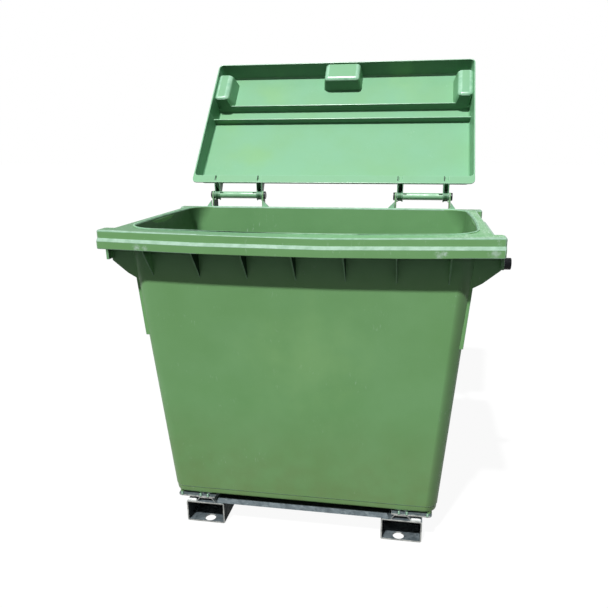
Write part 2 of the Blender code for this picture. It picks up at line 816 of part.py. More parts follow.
def add_lugs(body):
    """Weld the four hinge lugs, with their bores for the pins, their feet and their stops."""
    bore = circle((HINGE_AXIS_Y, AXIS_Z), PIN_DIAMETER / 2 + CONTACT_GAP, TURN_STEPS)
    for title, side in SIDES:
        lugs = ((INNER_LUG, -side, INNER_LUG_DEPTH, INNER_PAD_WIDTH),
                (OUTER_LUG, side, OUTER_LUG_DEPTH, OUTER_PAD_WIDTH))
        for inner_face, outward, depth, width in lugs:
            middle = side * (inner_face + LUG_THICKNESS / 2)
            join(body, lug_pad(middle, outward, width))
            outlines = [lug_outline(depth), bore]
            join(body, flat_piece("lug", outlines, LUG_THICKNESS, facing_x(middle), CUTTERS))
            join(body, lug_gusset(middle, outward, width))
            seat = LUG_THICKNESS / 2
            reach = ARM_SIDE_GAP + NOSE_WIDTH
            across = middle - outward * (seat + reach) / 2
            join(body, flat_piece("nose", [nose_outline()], seat + reach, facing_x(across), CUTTERS))


# Bottom of the bin

def bolt_places(side, end):
    """Where the four bolts of a corner stand."""
    first, inward = (PLATE_FRONT, 1) if end == "front" else (PLATE_REAR, -1)
    rows = (first + inward * BOLT_SETBACK, first + inward * (BOLT_SETBACK + BOLT_PITCH_Y))
    lines = (BOLT_CENTRE - BOLT_PITCH_X / 2, BOLT_CENTRE + BOLT_PITCH_X / 2)
    return [(side * line, row) for line in lines for row in rows]


def add_bottom(body):
    """Weld the floor pads and corner feet and bore the floor for the bolts."""
    for title, side in SIDES:
        for end in ENDS:
            places = bolt_places(side, end)
            xs = [place[0] for place in places]
            ys = [place[1] for place in places]
            low = (min(xs) - FLOOR_PAD_MARGIN, min(ys) - FLOOR_PAD_MARGIN, BASE_BOTTOM + FLOOR_PAD_SEAT)
            top = BASE_BOTTOM + FLOOR_THICKNESS + FLOOR_PAD_HEIGHT
            high = (max(xs) + FLOOR_PAD_MARGIN, max(ys) + FLOOR_PAD_MARGIN, top)
            join(body, block("floor_pad", low, high, CUTTERS))
            along = BOTTOM_FRONT + FOOT_INSET_Y if end == "front" else BOTTOM_REAR - FOOT_INSET_Y
            start = (side * (BOTTOM_HALF_WIDTH - FOOT_INSET_X), along, PLATE_TOP + CONTACT_GAP)
            join(body, rod("foot", FOOT_RADIUS, start, FOOT_RISE + BUSH_HEIGHT, "Z", BOLT_STEPS, CUTTERS))
            radius = (BOLT_DIAMETER + BOLT_CLEARANCE) / 2
            for across, depth in places:
                below = (across, depth, BASE_BOTTOM - OVERRUN)
                length = OVERRUN + BOLT_REACH + BOLT_TIP_GAP
                cut(body, rod("bolt_bore", radius, below, length, "Z", BOLT_STEPS, CUTTERS))


# Sag of the front bar

def sag_at(point):
    """How far a point of the front bar hangs down."""
    bow = max(0, 1 - (point.x / SAG_HALF) ** 2)
    near = (SAG_END_DEPTH - point.y) / (SAG_END_DEPTH - SAG_FULL_DEPTH)
    lift = (SAG_END_DROP - (RIM_TOP - point.z)) / (SAG_END_DROP - SAG_FULL_DROP)
    return RIM_SAG * bow * min(1, max(0, near)) * min(1, max(0, lift))


def hang_front_bar(body):
    """Let the front bar sag a little between its corners, as the moulded bar does."""
    form = bmesh.new()
    form.from_mesh(body.data)
    level = RIM_TOP - SAG_END_DROP
    for number in range(SAG_CUTS):
        across = SAG_HALF * (2 * (number + 1) / (SAG_CUTS + 1) - 1)
        faces = [face for face in form.faces
                 if min(vert.co.y for vert in face.verts) < SAG_FULL_DEPTH
                 and max(vert.co.z for vert in face.verts) > level]
        edges = list({edge for face in faces for edge in face.edges})
        verts = list({vert for face in faces for vert in face.verts})
        bmesh.ops.bisect_plane(form, geom=faces + edges + verts, dist=WELD_DISTANCE,
                               plane_co=(across, 0, 0), plane_no=(1, 0, 0))
    bmesh.ops.triangulate(form, faces=form.faces)
    for vert in form.verts:
        vert.co.z -= sag_at(vert.co)
    form.to_mesh(body.data)
    form.free()


def make_body():
    """The moulded bin in one piece."""
    body = outer_wall()
    join(body, rim())
    join(body, rim_bead())
    add_ribs(body)
    add_housings(body)
    cut(body, inner_hollow())
    add_lugs(body)
    add_bottom(body)
    hang_front_bar(body)
    return finish(body, GREEN_PLASTIC, smooth=True)


# Lid, drawn closed about the hinge axis

def on_lid(across, reach, depth):
    """A point of the lid by its reach from the rear edge and its depth above the lid's rim."""
    return (across, -LID_SETBACK - reach, LID_PLANE + depth)


def lid_depth(reach):
    """Depth of the lid's inside at a reach: the main panel, the raised bar and the front panel."""
    if reach <= STEP_START:
        return between(LID_REAR_DEPTH, LID_FRONT_DEPTH, reach / STEP_START)
    if reach <= STEP_START + STEP_RUN:
        return between(LID_FRONT_DEPTH, LID_BAR_DEPTH, (reach - STEP_START) / STEP_RUN)
    if reach <= BAR_END:
        return LID_BAR_DEPTH
    if reach <= BAR_END + BAR_RUN:
        return between(LID_BAR_DEPTH, LID_FRONT_DEPTH, (reach - BAR_END) / BAR_RUN)
    return LID_FRONT_DEPTH


def lid_chain(half, front, rear, corner, depth_at):
    """The right half of a ring round the lid, from its front edge to its rear edge."""
    front_arc = arc((half - corner, front - corner), corner, QUARTER, 0, LID_CORNER_STEPS)
    rear_arc = arc((half - corner, rear + corner), corner, 0, -QUARTER, LID_CORNER_STEPS)
    stations = [BAR_END + BAR_RUN, BAR_END, STEP_START + STEP_RUN, STEP_START]
    chain = front_arc + [(half, reach) for reach in stations] + rear_arc
    return [(across, reach, depth_at(reach)) for across, reach in chain]


def lid_rings():
    """Rings from the top of the lid's outside, round its lip and up its inside."""
    mouth = (LID_HALF_WIDTH - LID_LIP, LID_LENGTH - LID_FRONT_LIP, LID_REAR_FLANGE, LID_CORNER - LID_WALL)
    base = (mouth[0] + LID_WALL, mouth[1] + LID_WALL, mouth[2] - LID_WALL, LID_CORNER)
    lip = (LID_HALF_WIDTH, LID_LENGTH, 0, LID_CORNER)

    def drawn_in(sizes, inset):
        half, front, rear, corner = sizes
        return (half - inset, front - inset, rear + inset, corner)

    def ring(sizes, depth_at):
        return lid_chain(*sizes, depth_at)

    rings = []
    for turn in reversed(edge_turns(EDGE_STEPS)):
        inset = LID_TAPER + LID_ROUND * (1 - cos(turn))
        drop = LID_ROUND * (1 - sin(turn))
        crown = LID_WALL - drop
        rings.append(ring(drawn_in(base, inset), lambda reach, crown=crown: lid_depth(reach) + crown))
    rings.append(ring(base, lambda reach: LID_LIP_THICKNESS))
    rings.append(ring(lip, lambda reach: LID_LIP_THICKNESS))
    rings.append(ring(lip, lambda reach: 0))
    rings.append(ring(mouth, lambda reach: 0))
    rings.append(ring(drawn_in(mouth, LID_TAPER), lambda reach: lid_depth(reach) - LID_INNER_ROUND))
    rings.append(ring(drawn_in(mouth, LID_TAPER + LID_INNER_ROUND), lid_depth))
    return rings


def lid_skin():
    """The lid's tray as one closed skin."""
    form = bmesh.new()
    loops = []
    for chain in lid_rings():
        right = [form.verts.new(on_lid(*point)) for point in chain]
        left = [form.verts.new(on_lid(-across, reach, depth)) for across, reach, depth in chain]
        loops.append((right, left))
    for (right, left), (next_right, next_left) in zip(loops, loops[1:]):
        loop = right + list(reversed(left))
        after = next_right + list(reversed(next_left))
        count = len(loop)
        for here in range(count):
            then = (here + 1) % count
            form.faces.new((loop[here], loop[then], after[then], after[here]))
    for right, left in (loops[0], loops[-1]):
        for here in range(len(right) - 1):
            form.faces.new((right[here], right[here + 1], left[here + 1], left[here]))
    return add_form("lid", form, PARTS)


def grip_form(name, crest, foot, edge, group):
    """A tapered block between two rectangles, its back and side edges rounded at the crest."""
    rings = []
    for inner, outer, back, front, depth in (crest, foot):
        rings.append([on_lid(inner, back, depth), on_lid(outer, back, depth),
                      on_lid(outer, front, depth), on_lid(inner, front, depth)])
    thing = loft(name, rings, group)
    form = bmesh.new()
    form.from_mesh(thing.data)
    low = min(vert.co.z for vert in form.verts)
    back = max(vert.co.y for vert in form.verts if vert.co.z == low)
    picked = []
    for side in form.edges:
        ends = [vert.co for vert in side.verts]
        at_crest = all(point.z == low for point in ends)
        upright = any(point.z == low and point.y == back for point in ends)
        if at_crest and max(point.y for point in ends) == back or upright:
            picked.append(side)
    bmesh.ops.bevel(form, geom=picked, offset=edge, segments=GRIP_EDGE_STEPS, profile=0.5, affect="EDGES")
    form.to_mesh(thing.data)
    form.free()
    return thing


def middle_grip(shrink):
    """Crest and foot of the middle grip, drawn in by a wall for its hand recess."""
    front = LID_LENGTH - LID_FRONT_LIP + GRIP_FRONT_SEAT - shrink
    half = MIDDLE_GRIP_HALF - shrink
    high = LID_FRONT_DEPTH + LID_WALL / 2 + (OVERRUN if shrink else 0)
    back = MIDDLE_GRIP_BACK + shrink
    crest = (-half, half, back, front, GRIP_CREST + shrink)
    spread = half + MIDDLE_GRIP_SPREAD
    foot = (-spread, spread, back - MIDDLE_GRIP_LEAN, front - LID_TAPER, high)
    return crest, foot


def corner_grip(side, shrink):
    """Crest and foot of a corner grip, drawn in by a wall for its hand recess."""
    inner = CORNER_GRIP_INNER + shrink
    outer = LID_HALF_WIDTH - LID_LIP + GRIP_FRONT_SEAT - shrink
    high = LID_FRONT_DEPTH + LID_WALL / 2 + (OVERRUN if shrink else 0)
    back = CORNER_GRIP_BACK + shrink
    front = CORNER_GRIP_FRONT - shrink
    crest = (side * inner, side * outer, back, front, CORNER_GRIP_CREST + shrink)
    foot = (side * (inner - CORNER_GRIP_SPREAD), side * (outer - LID_TAPER), back + CORNER_GRIP_BACK_LEAN,
            front + CORNER_GRIP_FRONT_LEAN, high)
    return crest, foot


def add_grips(lid):
    """Weld the three grip blocks inside the lid and open their hand recesses from outside."""
    join(lid, grip_form("grip", *middle_grip(0), GRIP_EDGE, CUTTERS))
    for title, side in SIDES:
        join(lid, grip_form("grip", *corner_grip(side, 0), GRIP_EDGE, CUTTERS))
    edge = GRIP_EDGE - LID_WALL
    cut(lid, grip_form("recess", *middle_grip(LID_WALL), edge, CUTTERS))
    for title, side in SIDES:
        cut(lid, grip_form("recess", *corner_grip(side, LID_WALL), edge, CUTTERS))


def arm_root():
    """Where the top of an arm runs into the lid's sloping rear wall."""
    rear_wall = LID_REAR_FLANGE - LID_WALL / 2
    return on_lid(0, rear_wall + LID_TAPER * ARM_TOP / LID_REAR_DEPTH, ARM_TOP)[1:]


def arm_outline():
    """An arm from the side: from inside the rear wall to a round end with a toe."""
    axis = (0, 0)
    toe_start = TOE_ANGLE + TOE_HALF_ANGLE
    toe_end = TOE_ANGLE - TOE_HALF_ANGLE
    rear_wall = LID_REAR_FLANGE - LID_WALL / 2
    points = [arm_root()]
    points += arc(axis, ARM_RADIUS, ARM_UPPER_ANGLE, toe_start, EDGE_STEPS)
    points += arc(axis, TOE_RADIUS, toe_start, toe_end, EDGE_STEPS)
    points += arc(axis, ARM_RADIUS, toe_end, ARM_LOWER_ANGLE, ARC_STEPS)
    points.append(on_lid(0, ARM_SEAT, ARM_SEAT)[1:])
    points.append(on_lid(0, rear_wall, ARM_SEAT)[1:])
    return points


def arm_gap_outline():
    """The gap between an arm's two plates, from the lid's edge round the boss to the toe."""
    start = -LID_SETBACK + ARM_SEAT / 2
    root = arm_root()
    crown = (ARM_RADIUS * cos(ARM_UPPER_ANGLE), ARM_RADIUS * sin(ARM_UPPER_ANGLE))
    share = (start - root[0]) / (crown[0] - root[0])
    low_web = between(root[1], crown[1], share) - ARM_WEB
    web = ARM_RADIUS - ARM_WEB - ARM_SEAT
    below = LID_PLANE - OVERRUN
    beyond = TOE_RADIUS + OVERRUN
    first = pi - asin(web / BOSS_RADIUS)
    last = 2 * pi + TOE_ANGLE + TOE_HALF_ANGLE
    boss = arc((0, 0), BOSS_RADIUS, first, last, 2 * ARC_STEPS)
    far = (beyond * cos(last), beyond * sin(last))
    return [(start, below), (start, low_web)] + boss + [far, (beyond, far[1]), (beyond, below)]


def add_arms(lid):
    """Weld the four hollow arms behind the lid and bore them for the pins."""
    inner_width = ARM_WIDTH - 2 * ARM_PLATE
    recess_end = LID_REAR_FLANGE + OVERRUN / ARC_STEPS
    for title, side in SIDES:
        for near in (ARM_INNER, ARM_OUTER):
            across = side * (near + ARM_WIDTH / 2)
            join(lid, flat_piece("arm", [arm_outline()], ARM_WIDTH, facing_x(across), CUTTERS))
            cut(lid, flat_piece("arm_gap", [arm_gap_outline()], inner_width, facing_x(across), CUTTERS))
            low = on_lid(across - inner_width / 2, recess_end, -OVERRUN)
            high = on_lid(across + inner_width / 2, FLANGE_RECESS_MARGIN, FLANGE_RECESS_DEPTH)
            cut(lid, block("flange_recess", low, high, CUTTERS))
        start = side * (ARM_INNER + ARM_OUTER + ARM_WIDTH) / 2 - (ARM_OUTER - ARM_INNER)
        length = 2 * (ARM_OUTER - ARM_INNER)
        radius = PIN_DIAMETER / 2 + PIN_CLEARANCE
        cut(lid, rod("arm_bore", radius, (start, 0, 0), length, "X", TURN_STEPS, CUTTERS))


def add_step_ribs(lid):
    """Weld the thin ribs that cross the lid where the raised bar begins and ends."""
    half = LID_HALF_WIDTH - LID_LIP - LID_TAPER * STEP_RIB_CREST / LID_FRONT_DEPTH + STEP_RIB_END_GAP
    start = STEP_START - STEP_RIB_SETBACK
    low = on_lid(-half, start + STEP_RIB, STEP_RIB_CREST)
    high = on_lid(half, start, LID_FRONT_DEPTH + LID_WALL / 2)
    join(lid, block("step_rib", low, high, CUTTERS))
    end = BAR_END + BAR_RUN
    low = on_lid(-BAR_RIB_HALF, end + BAR_RIB, BAR_RIB_CREST)
    high = on_lid(BAR_RIB_HALF, end, LID_FRONT_DEPTH + LID_WALL / 2)
    join(lid, block("bar_rib", low, high, CUTTERS))


def make_lid():
    """The lid in one piece, with its origin on the hinge axis."""
    lid = lid_skin()
    add_step_ribs(lid)
    add_grips(lid)
    add_arms(lid)
    return finish(lid, GREEN_PLASTIC, smooth=True)


# Hinge pins, caps and sleeves

def make_hinge(side_name, side):
    """One hinge pin with its two caps and the sleeve between the lid's arms."""
    made = []
    inner = INNER_LUG
    outer = OUTER_LUG + LUG_THICKNESS
    length = outer - inner + 2 * PIN_END
    middle = side * (inner + outer) / 2
    name = f"hinge_pin_{side_name}"
    pin = rod(name, PIN_DIAMETER / 2, (-length / 2, 0, 0), length, "X", TURN_STEPS, PARTS)
    pin.location = (middle, HINGE_AXIS_Y, AXIS_Z)
    made.append(finish(pin, ZINC_PLATED, smooth=True))
    hole = PIN_DIAMETER / 2 + CONTACT_GAP
    depth = CAP_THICKNESS - CAP_FLOOR
    profile = [(CAP_THICKNESS, 0), (CAP_THICKNESS, CAP_DIAMETER / 2 - CAP_CHAMFER),
               (CAP_THICKNESS - CAP_CHAMFER, CAP_DIAMETER / 2), (0, CAP_DIAMETER / 2), (0, hole),
               (depth, hole), (depth, 0)]
    for place, face, outward in (("inner", inner, -side), ("outer", outer, side)):
        cap = turned(f"pin_cap_{side_name}_{place}", profile, TURN_STEPS, PARTS)
        cap.location = (side * face + outward * CONTACT_GAP, HINGE_AXIS_Y, AXIS_Z)
        if outward < 0:
            cap.rotation_euler = (0, 0, pi)
        made.append(finish(cap, BLACK_PLASTIC, smooth=True))
    start = ARM_INNER + ARM_WIDTH + SLEEVE_END_GAP
    end = ARM_OUTER - SLEEVE_END_GAP
    half = (end - start) / 2
    bore = PIN_DIAMETER / 2 + CONTACT_GAP
    radius = SLEEVE_DIAMETER / 2
    ring = [(half, bore), (half, radius), (-half, radius), (-half, bore), (half, bore)]
    sleeve = turned(f"hinge_sleeve_{side_name}", ring, TURN_STEPS, PARTS)
    for end_side in (-1, 1):
        near = end_side * (half + OVERRUN)
        far = end_side * (half - SLOT_LENGTH)
        xs = sorted((near, far))
        low = (xs[0], radius - SLOT_DEPTH, -SLOT_WIDTH / 2)
        high = (xs[1], SLEEVE_DIAMETER, SLOT_WIDTH / 2)
        slot = block("slot", low, high, CUTTERS)
        slot.data.transform(Matrix.Rotation(SLOT_ANGLE, 4, "X"))
        cut(sleeve, slot)
    sleeve.location = (side * (start + end) / 2, HINGE_AXIS_Y, AXIS_Z)
    made.append(finish(sleeve, GREEN_PLASTIC, smooth=True))
    return made


# Trunnions

def make_trunnion(side_name, side):
    """A lifting trunnion and the collar that holds it inside its housing."""
    barrel = TRUNNION_REACH - CONTACT_GAP
    inward = HOUSING_PLATE + CONTACT_GAP + SPIGOT_REACH
    radius = TRUNNION_DIAMETER / 2
    spigot = SPIGOT_DIAMETER / 2
    profile = [(barrel, 0), (barrel, radius - TRUNNION_CHAMFER), (barrel - TRUNNION_CHAMFER, radius),
               (0, radius), (0, spigot), (-inward, spigot), (-inward, 0)]
    pin = turned(f"trunnion_{side_name}", profile, TURN_STEPS, PARTS)
    pin.location = (side * (HOUSING_HALF + CONTACT_GAP), TRUNNION_DEPTH, TRUNNION_Z)
    hole = spigot + CONTACT_GAP
    ring = [(0, hole), (0, COLLAR_DIAMETER / 2), (-COLLAR_THICKNESS, COLLAR_DIAMETER / 2),
            (-COLLAR_THICKNESS, hole), (0, hole)]
    collar = turned(f"trunnion_collar_{side_name}", ring, TURN_STEPS, PARTS)
    collar.location = (side * (HOUSING_HALF - HOUSING_PLATE - CONTACT_GAP), TRUNNION_DEPTH, TRUNNION_Z)
    if side < 0:
        pin.rotation_euler = (0, 0, pi)
        collar.rotation_euler = (0, 0, pi)
    return [finish(pin, BLACK_PLASTIC, smooth=True), finish(collar, ZINC_PLATED, smooth=True)]


# Fork pocket frame

def rounded_outline(half_across, low, high, corner):
    """A rounded rectangle, counterclockwise from its lower right corner."""
    right = half_across - corner
    bottom = low + corner
    top = high - corner
    centres = ((right, bottom), (right, top), (-right, top), (-right, bottom))
    outline = []
    for number, centre in enumerate(centres):
        start = QUARTER * (number - 1)
        outline += arc(centre, corner, start, start + QUARTER, EDGE_STEPS)
    return outline


def make_pocket(side_name, side):
    """A fork pocket: a rectangular tube with a round hole near each end of its floor."""
    outer = rounded_outline(POCKET_WIDTH / 2, 0, POCKET_HEIGHT, POCKET_ROUND)
    inner = rounded_outline(POCKET_WIDTH / 2 - POCKET_WALL, POCKET_WALL, POCKET_HEIGHT - POCKET_WALL,
                            POCKET_ROUND - POCKET_WALL)
    length = POCKET_REAR - POCKET_FRONT
    pocket = flat_piece(f"fork_pocket_{side_name}", [outer, inner], length, facing_y(length / 2), PARTS)
    for depth in (POCKET_HOLE_SETBACK, length - POCKET_HOLE_SETBACK):
        across = side * (POCKET_HOLE_CENTRE - POCKET_CENTRE)
        start = (across, depth, -OVERRUN)
        through = POCKET_WALL + 2 * OVERRUN
        cut(pocket, rod("hole", POCKET_HOLE / 2, start, through, "Z", TURN_STEPS, CUTTERS))
    pocket.location = (side * POCKET_CENTRE, POCKET_FRONT, 0)
    return finish(pocket, GALVANISED)


def make_rail(end):
    """A cross rail of angle section on the fork pockets, its ends cut at a slant."""
    bottom = 0
    profile = [(0, bottom), (RAIL_DEPTH, bottom), (RAIL_DEPTH, RAIL_LEG), (RAIL_LEG, RAIL_LEG),
               (RAIL_LEG, RAIL_HEIGHT), (0, RAIL_HEIGHT)]
    rings = []
    for side in (-1, 1):
        ring = []
        for depth, height in profile:
            reach = RAIL_HALF_LENGTH - RAIL_END_CUT * height / RAIL_HEIGHT
            ring.append((side * reach, depth, height))
        rings.append(ring)
    rail = loft(f"cross_rail_{end}", rings, PARTS)
    if end == "front":
        rail.location = (0, POCKET_FRONT + RAIL_SETBACK, POCKET_HEIGHT + CONTACT_GAP)
    else:
        rail.location = (0, POCKET_REAR - RAIL_SETBACK, POCKET_HEIGHT + CONTACT_GAP)
        rail.rotation_euler = (0, 0, pi)
    return finish(rail, GALVANISED)


def make_plate(side_name, side, end):
    """A corner plate with rounded outer corners and four bushes under the bin's floor."""
    middle = (PLATE_INNER + PLATE_OUTER) / 2
    half = (PLATE_OUTER - PLATE_INNER) / 2
    inner = [(-half, PLATE_LENGTH), (-half, 0)]
    low = arc((half - PLATE_CORNER, PLATE_CORNER), PLATE_CORNER, -QUARTER, 0, EDGE_STEPS)
    high = arc((half - PLATE_CORNER, PLATE_LENGTH - PLATE_CORNER), PLATE_CORNER, 0, QUARTER, EDGE_STEPS)
    outline = inner + low + high
    if side < 0:
        outline = mirrored(outline)
    name = f"corner_plate_{end}_{side_name}"
    plate = flat_piece(name, [outline], PLATE_THICKNESS, facing_z(PLATE_THICKNESS / 2), PARTS)
    first = PLATE_FRONT if end == "front" else PLATE_REAR - PLATE_LENGTH
    for across, depth in bolt_places(side, end):
        start = (across - side * middle, depth - first, PLATE_THICKNESS / 2)
        height = PLATE_THICKNESS / 2 + BUSH_HEIGHT
        join(plate, rod("bush", BUSH_DIAMETER / 2, start, height, "Z", BOLT_STEPS, CUTTERS))
    for across, depth in bolt_places(side, end):
        start = (across - side * middle, depth - first, -OVERRUN)
        length = PLATE_THICKNESS + BUSH_HEIGHT + 2 * OVERRUN
        radius = (BOLT_DIAMETER + BOLT_CLEARANCE) / 2
        cut(plate, rod("bolt_hole", radius, start, length, "Z", BOLT_STEPS, CUTTERS))
    plate.location = (side * middle, first, PLATE_BOTTOM)
    return finish(plate, GALVANISED)


def make_hat(side_name, side, end):
    """A hat section that carries a corner plate on its fork pocket."""
    height = HAT_TOP - HAT_BOTTOM
    slant = HAT_LEG_RUN / height
    foot_wall = HAT_THICKNESS * sqrt(1 + slant * slant)
    under = height - HAT_THICKNESS
    inner_top = HAT_HALF_TOP + HAT_LEG_RUN - foot_wall - slant * under
    outer_foot = HAT_HALF_TOP + HAT_LEG_RUN
    right = [(outer_foot - foot_wall, 0), (outer_foot, 0), (HAT_HALF_TOP, height)]
    left = [(-across, up) for across, up in reversed(right)]
    outline = right + left + [(-inner_top, under), (inner_top, under)]
    name = f"hat_section_{end}_{side_name}"
    hat = flat_piece(name, [outline], PLATE_LENGTH, facing_y(PLATE_LENGTH / 2), PARTS)
    first = PLATE_FRONT if end == "front" else PLATE_REAR - PLATE_LENGTH
    for across, depth in bolt_places(side, end):
        start = (across - side * HAT_CENTRE, depth - first, under - OVERRUN)
        radius = (BOLT_DIAMETER + BOLT_CLEARANCE) / 2
        cut(hat, rod("bolt_hole", radius, start, 2 * OVERRUN, "Z", BOLT_STEPS, CUTTERS))
    hat.location = (side * HAT_CENTRE, first, HAT_BOTTOM)
    return finish(hat, GALVANISED)


def make_bolts():
    """The hexagon bolts that hold the bin on its four corner plates."""
    shank = BASE_BOTTOM + BOLT_REACH - (HAT_TOP - HAT_THICKNESS - CONTACT_GAP)
    low = (0, 0, -BOLT_HEAD_HEIGHT)
    pattern = rod("bolt_pattern", BOLT_HEAD / 2, low, BOLT_HEAD_HEIGHT, "Z", HEAD_SIDES, PARTS)
    seat = BOLT_HEAD_HEIGHT / 2
    join(pattern, rod("shank", BOLT_DIAMETER / 2, (0, 0, -seat), shank + seat, "Z", BOLT_STEPS, CUTTERS))
    finish(pattern, ZINC_PLATED)
    bolts = []
    for side_name, side in SIDES:
        for end in ENDS:
            for number, (across, depth) in enumerate(bolt_places(side, end), start=1):
                bolt = bpy.data.objects.new(f"bin_bolt_{end}_{side_name}_{number}", pattern.data)
                PARTS.objects.link(bolt)
                bolt.location = (across, depth, HAT_TOP - HAT_THICKNESS - CONTACT_GAP)
                bolts.append(bolt)
    bpy.data.objects.remove(pattern, do_unlink=True)
    return bolts


# Putting the object together

def add_empty(name, parent=None):
    """A guide that pieces are parented to."""
    guide = bpy.data.objects.new(name, None)
    PARTS.objects.link(guide)
    guide.parent = parent
    return guide


def depth_span(pieces):
    """The nearest and the farthest depth of the finished pieces."""
    bpy.context.view_layer.update()
    depths = [(piece.matrix_world @ vert.co).y for piece in pieces for vert in piece.data.vertices]
    return min(depths), max(depths)


def main():
    """Build every piece, hang the lid on its axis and centre the object over the origin."""
    pieces = [make_body()]
    pieces += make_bolts()
    for side_name, side in SIDES:
        pieces += make_trunnion(side_name, side)
        pieces += make_hinge(side_name, side)
        pieces.append(make_pocket(side_name, side))
        for end in ENDS:
            pieces.append(make_plate(side_name, side, end))
            pieces.append(make_hat(side_name, side, end))
    for end in ENDS:
        pieces.append(make_rail(end))
    lid = make_lid()
    origin = add_empty("bin_origin")
    axis = add_empty("lid_axis", origin)
    axis.location = (0, HINGE_AXIS_Y, AXIS_Z)
    axis.rotation_euler = (-LID_ANGLE, 0, 0)
    lid.parent = axis
    for piece in pieces:
        piece.parent = origin
    near, far = depth_span(pieces + [lid])
    origin.location = (0, -(near + far) / 2, 0)
    bpy.context.view_layer.update()


main()
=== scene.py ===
"""Looks of the forklift waste bin: the finish of every piece, its softened edges, its welds and the studio.

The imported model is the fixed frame. Lengths are metres, in the same frame as the model, with the front
of the bin towards -Y. Every piece stands for a node of the model or is a small addition that rides on one.
"""

import logging
from collections.abc import Callable
from dataclasses import dataclass, field
from enum import Enum, IntEnum
from math import cos, pi, radians, sin, tau

import bmesh
import bpy
from mathutils import Matrix, Vector, noise


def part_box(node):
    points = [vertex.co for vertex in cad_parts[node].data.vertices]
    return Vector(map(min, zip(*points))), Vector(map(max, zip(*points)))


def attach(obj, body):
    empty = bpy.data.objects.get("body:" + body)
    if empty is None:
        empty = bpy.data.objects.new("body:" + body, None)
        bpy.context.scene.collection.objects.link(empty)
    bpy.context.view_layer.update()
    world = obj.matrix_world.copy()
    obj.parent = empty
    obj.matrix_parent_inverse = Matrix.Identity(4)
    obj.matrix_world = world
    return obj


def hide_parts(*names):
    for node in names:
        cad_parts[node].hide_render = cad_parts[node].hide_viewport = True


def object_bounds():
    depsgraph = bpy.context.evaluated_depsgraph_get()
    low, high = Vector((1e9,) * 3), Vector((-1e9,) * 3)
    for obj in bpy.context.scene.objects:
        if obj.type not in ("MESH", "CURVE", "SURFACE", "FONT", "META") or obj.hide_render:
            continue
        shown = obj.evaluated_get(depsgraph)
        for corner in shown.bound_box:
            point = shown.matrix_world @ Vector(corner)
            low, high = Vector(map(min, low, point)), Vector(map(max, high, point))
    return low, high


LOG = logging.getLogger("waste_bin")
MM = 0.001
POLYETHYLENE_IOR = 1.52
POLYAMIDE_IOR = 1.53
Socket = bpy.types.NodeSocket
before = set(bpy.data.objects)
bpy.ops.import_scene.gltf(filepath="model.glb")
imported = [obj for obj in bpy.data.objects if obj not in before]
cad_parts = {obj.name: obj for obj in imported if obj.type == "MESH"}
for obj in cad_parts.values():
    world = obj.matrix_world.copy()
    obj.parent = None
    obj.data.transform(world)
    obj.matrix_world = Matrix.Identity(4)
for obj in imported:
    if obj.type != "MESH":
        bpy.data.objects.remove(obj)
CAD_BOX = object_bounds()


class Side(Enum):
    """The two sides of the bin, seen from its front."""

    LEFT = -1
    RIGHT = 1

    @property
    def word(self) -> str:
        """The side's word in the names of the nodes."""
        return self.name.lower()


class Body(Enum):
    """The bodies of the model that pieces ride on."""

    BIN = "bin"
    LID = "lid"


class Slot(Enum):
    """The record's material slots."""

    BODY = "green_body"
    LID = "green_lid"
    SLEEVE = "green_hinge_sleeve"
    CAP = "black_cap"
    TRUNNION = "black_trunnion"
    ZINC = "zinc_plated_steel"
    GALVANISED = "galvanised_steel"


class BinPaint(IntEnum):
    """The finishes of the moulded bin, by their numbers on its mesh."""

    BODY = 0
    # Worn ledges and rounds, painted paler for their highlights.
    EDGE = 1
    INSIDE = 2
    TOP = 3
    # The ribs under the front bar and the lugs' faces that look right, in painted shade.
    RIB = 4
    # The bead round the mouth, painted paler for its highlight.
    BEAD = 5


class LidPaint(IntEnum):
    """The finishes of the lid, by their numbers on its mesh."""

    TRAY = 0
    # The rounds of the tray, painted paler for their highlights.
    EDGE = 1
    # The arms behind the lid, in painted shade.
    ARM = 2
    # The left inner side of the tray, in painted shade.
    SIDE = 3


class SteelPaint(IntEnum):
    """The finishes of the frame's steel, by their numbers on its meshes."""

    SKIN = 0
    # Sheared ends and rounded edges, painted paler for their highlights.
    CUT = 1
    # Faces in the dark under the bin and inside the pockets, in painted shade.
    DARK = 2


# Nodes and colours

def linear(code: str) -> tuple[float, float, float, float]:
    """Turn an sRGB hex colour to linear.

    Args:
        code: the colour as six hex digits.

    Returns:
        Red, green, blue and an alpha of 1.
    """
    shares = [int(code[at:at + 2], 16) / 255 for at in (0, 2, 4)]
    return (*[part / 12.92 if part <= 0.04045 else ((part + 0.055) / 1.055) ** 2.4 for part in shares], 1.0)


def add_node(tree: bpy.types.NodeTree, kind: str, values: dict[str | int, object] | None = None,
             **settings: object) -> bpy.types.Node:
    """Add a shader node with its settings, values and links.

    Args:
        tree: the node tree that gets the node.
        kind: the node's type name.
        values: by input, a value or the socket that is linked to it.
        settings: the node's own properties.

    Returns:
        The new node.
    """
    node = tree.nodes.new(kind)
    for name, value in settings.items():
        setattr(node, name, value)
    for name, value in (values or {}).items():
        if isinstance(value, bpy.types.NodeSocket):
            tree.links.new(value, node.inputs[name])
        else:
            node.inputs[name].default_value = value
    return node


def noise_mask(tree: bpy.types.NodeTree, place: Socket, grain_mm: float, low: float, high: float,
               detail: float = 3.0) -> Socket:
    """A patchy mask of noise between two thresholds.

    Args:
        tree: the node tree.
        place: the coordinates, in metres.
        grain_mm: the size of a patch in millimetres.
        low: noise level at which the mask is 0.
        high: noise level at which the mask is 1.
        detail: how many finer layers the noise has.

    Returns:
        A socket with the mask, from 0 to 1.
    """
    field_ = add_node(tree, "ShaderNodeTexNoise", {"Vector": place, "Scale": 1 / (grain_mm * MM), "Detail": detail})
    ramp = add_node(tree, "ShaderNodeMapRange", {"Value": field_.outputs["Fac"], "From Min": low, "From Max": high})
    return ramp.outputs["Result"]


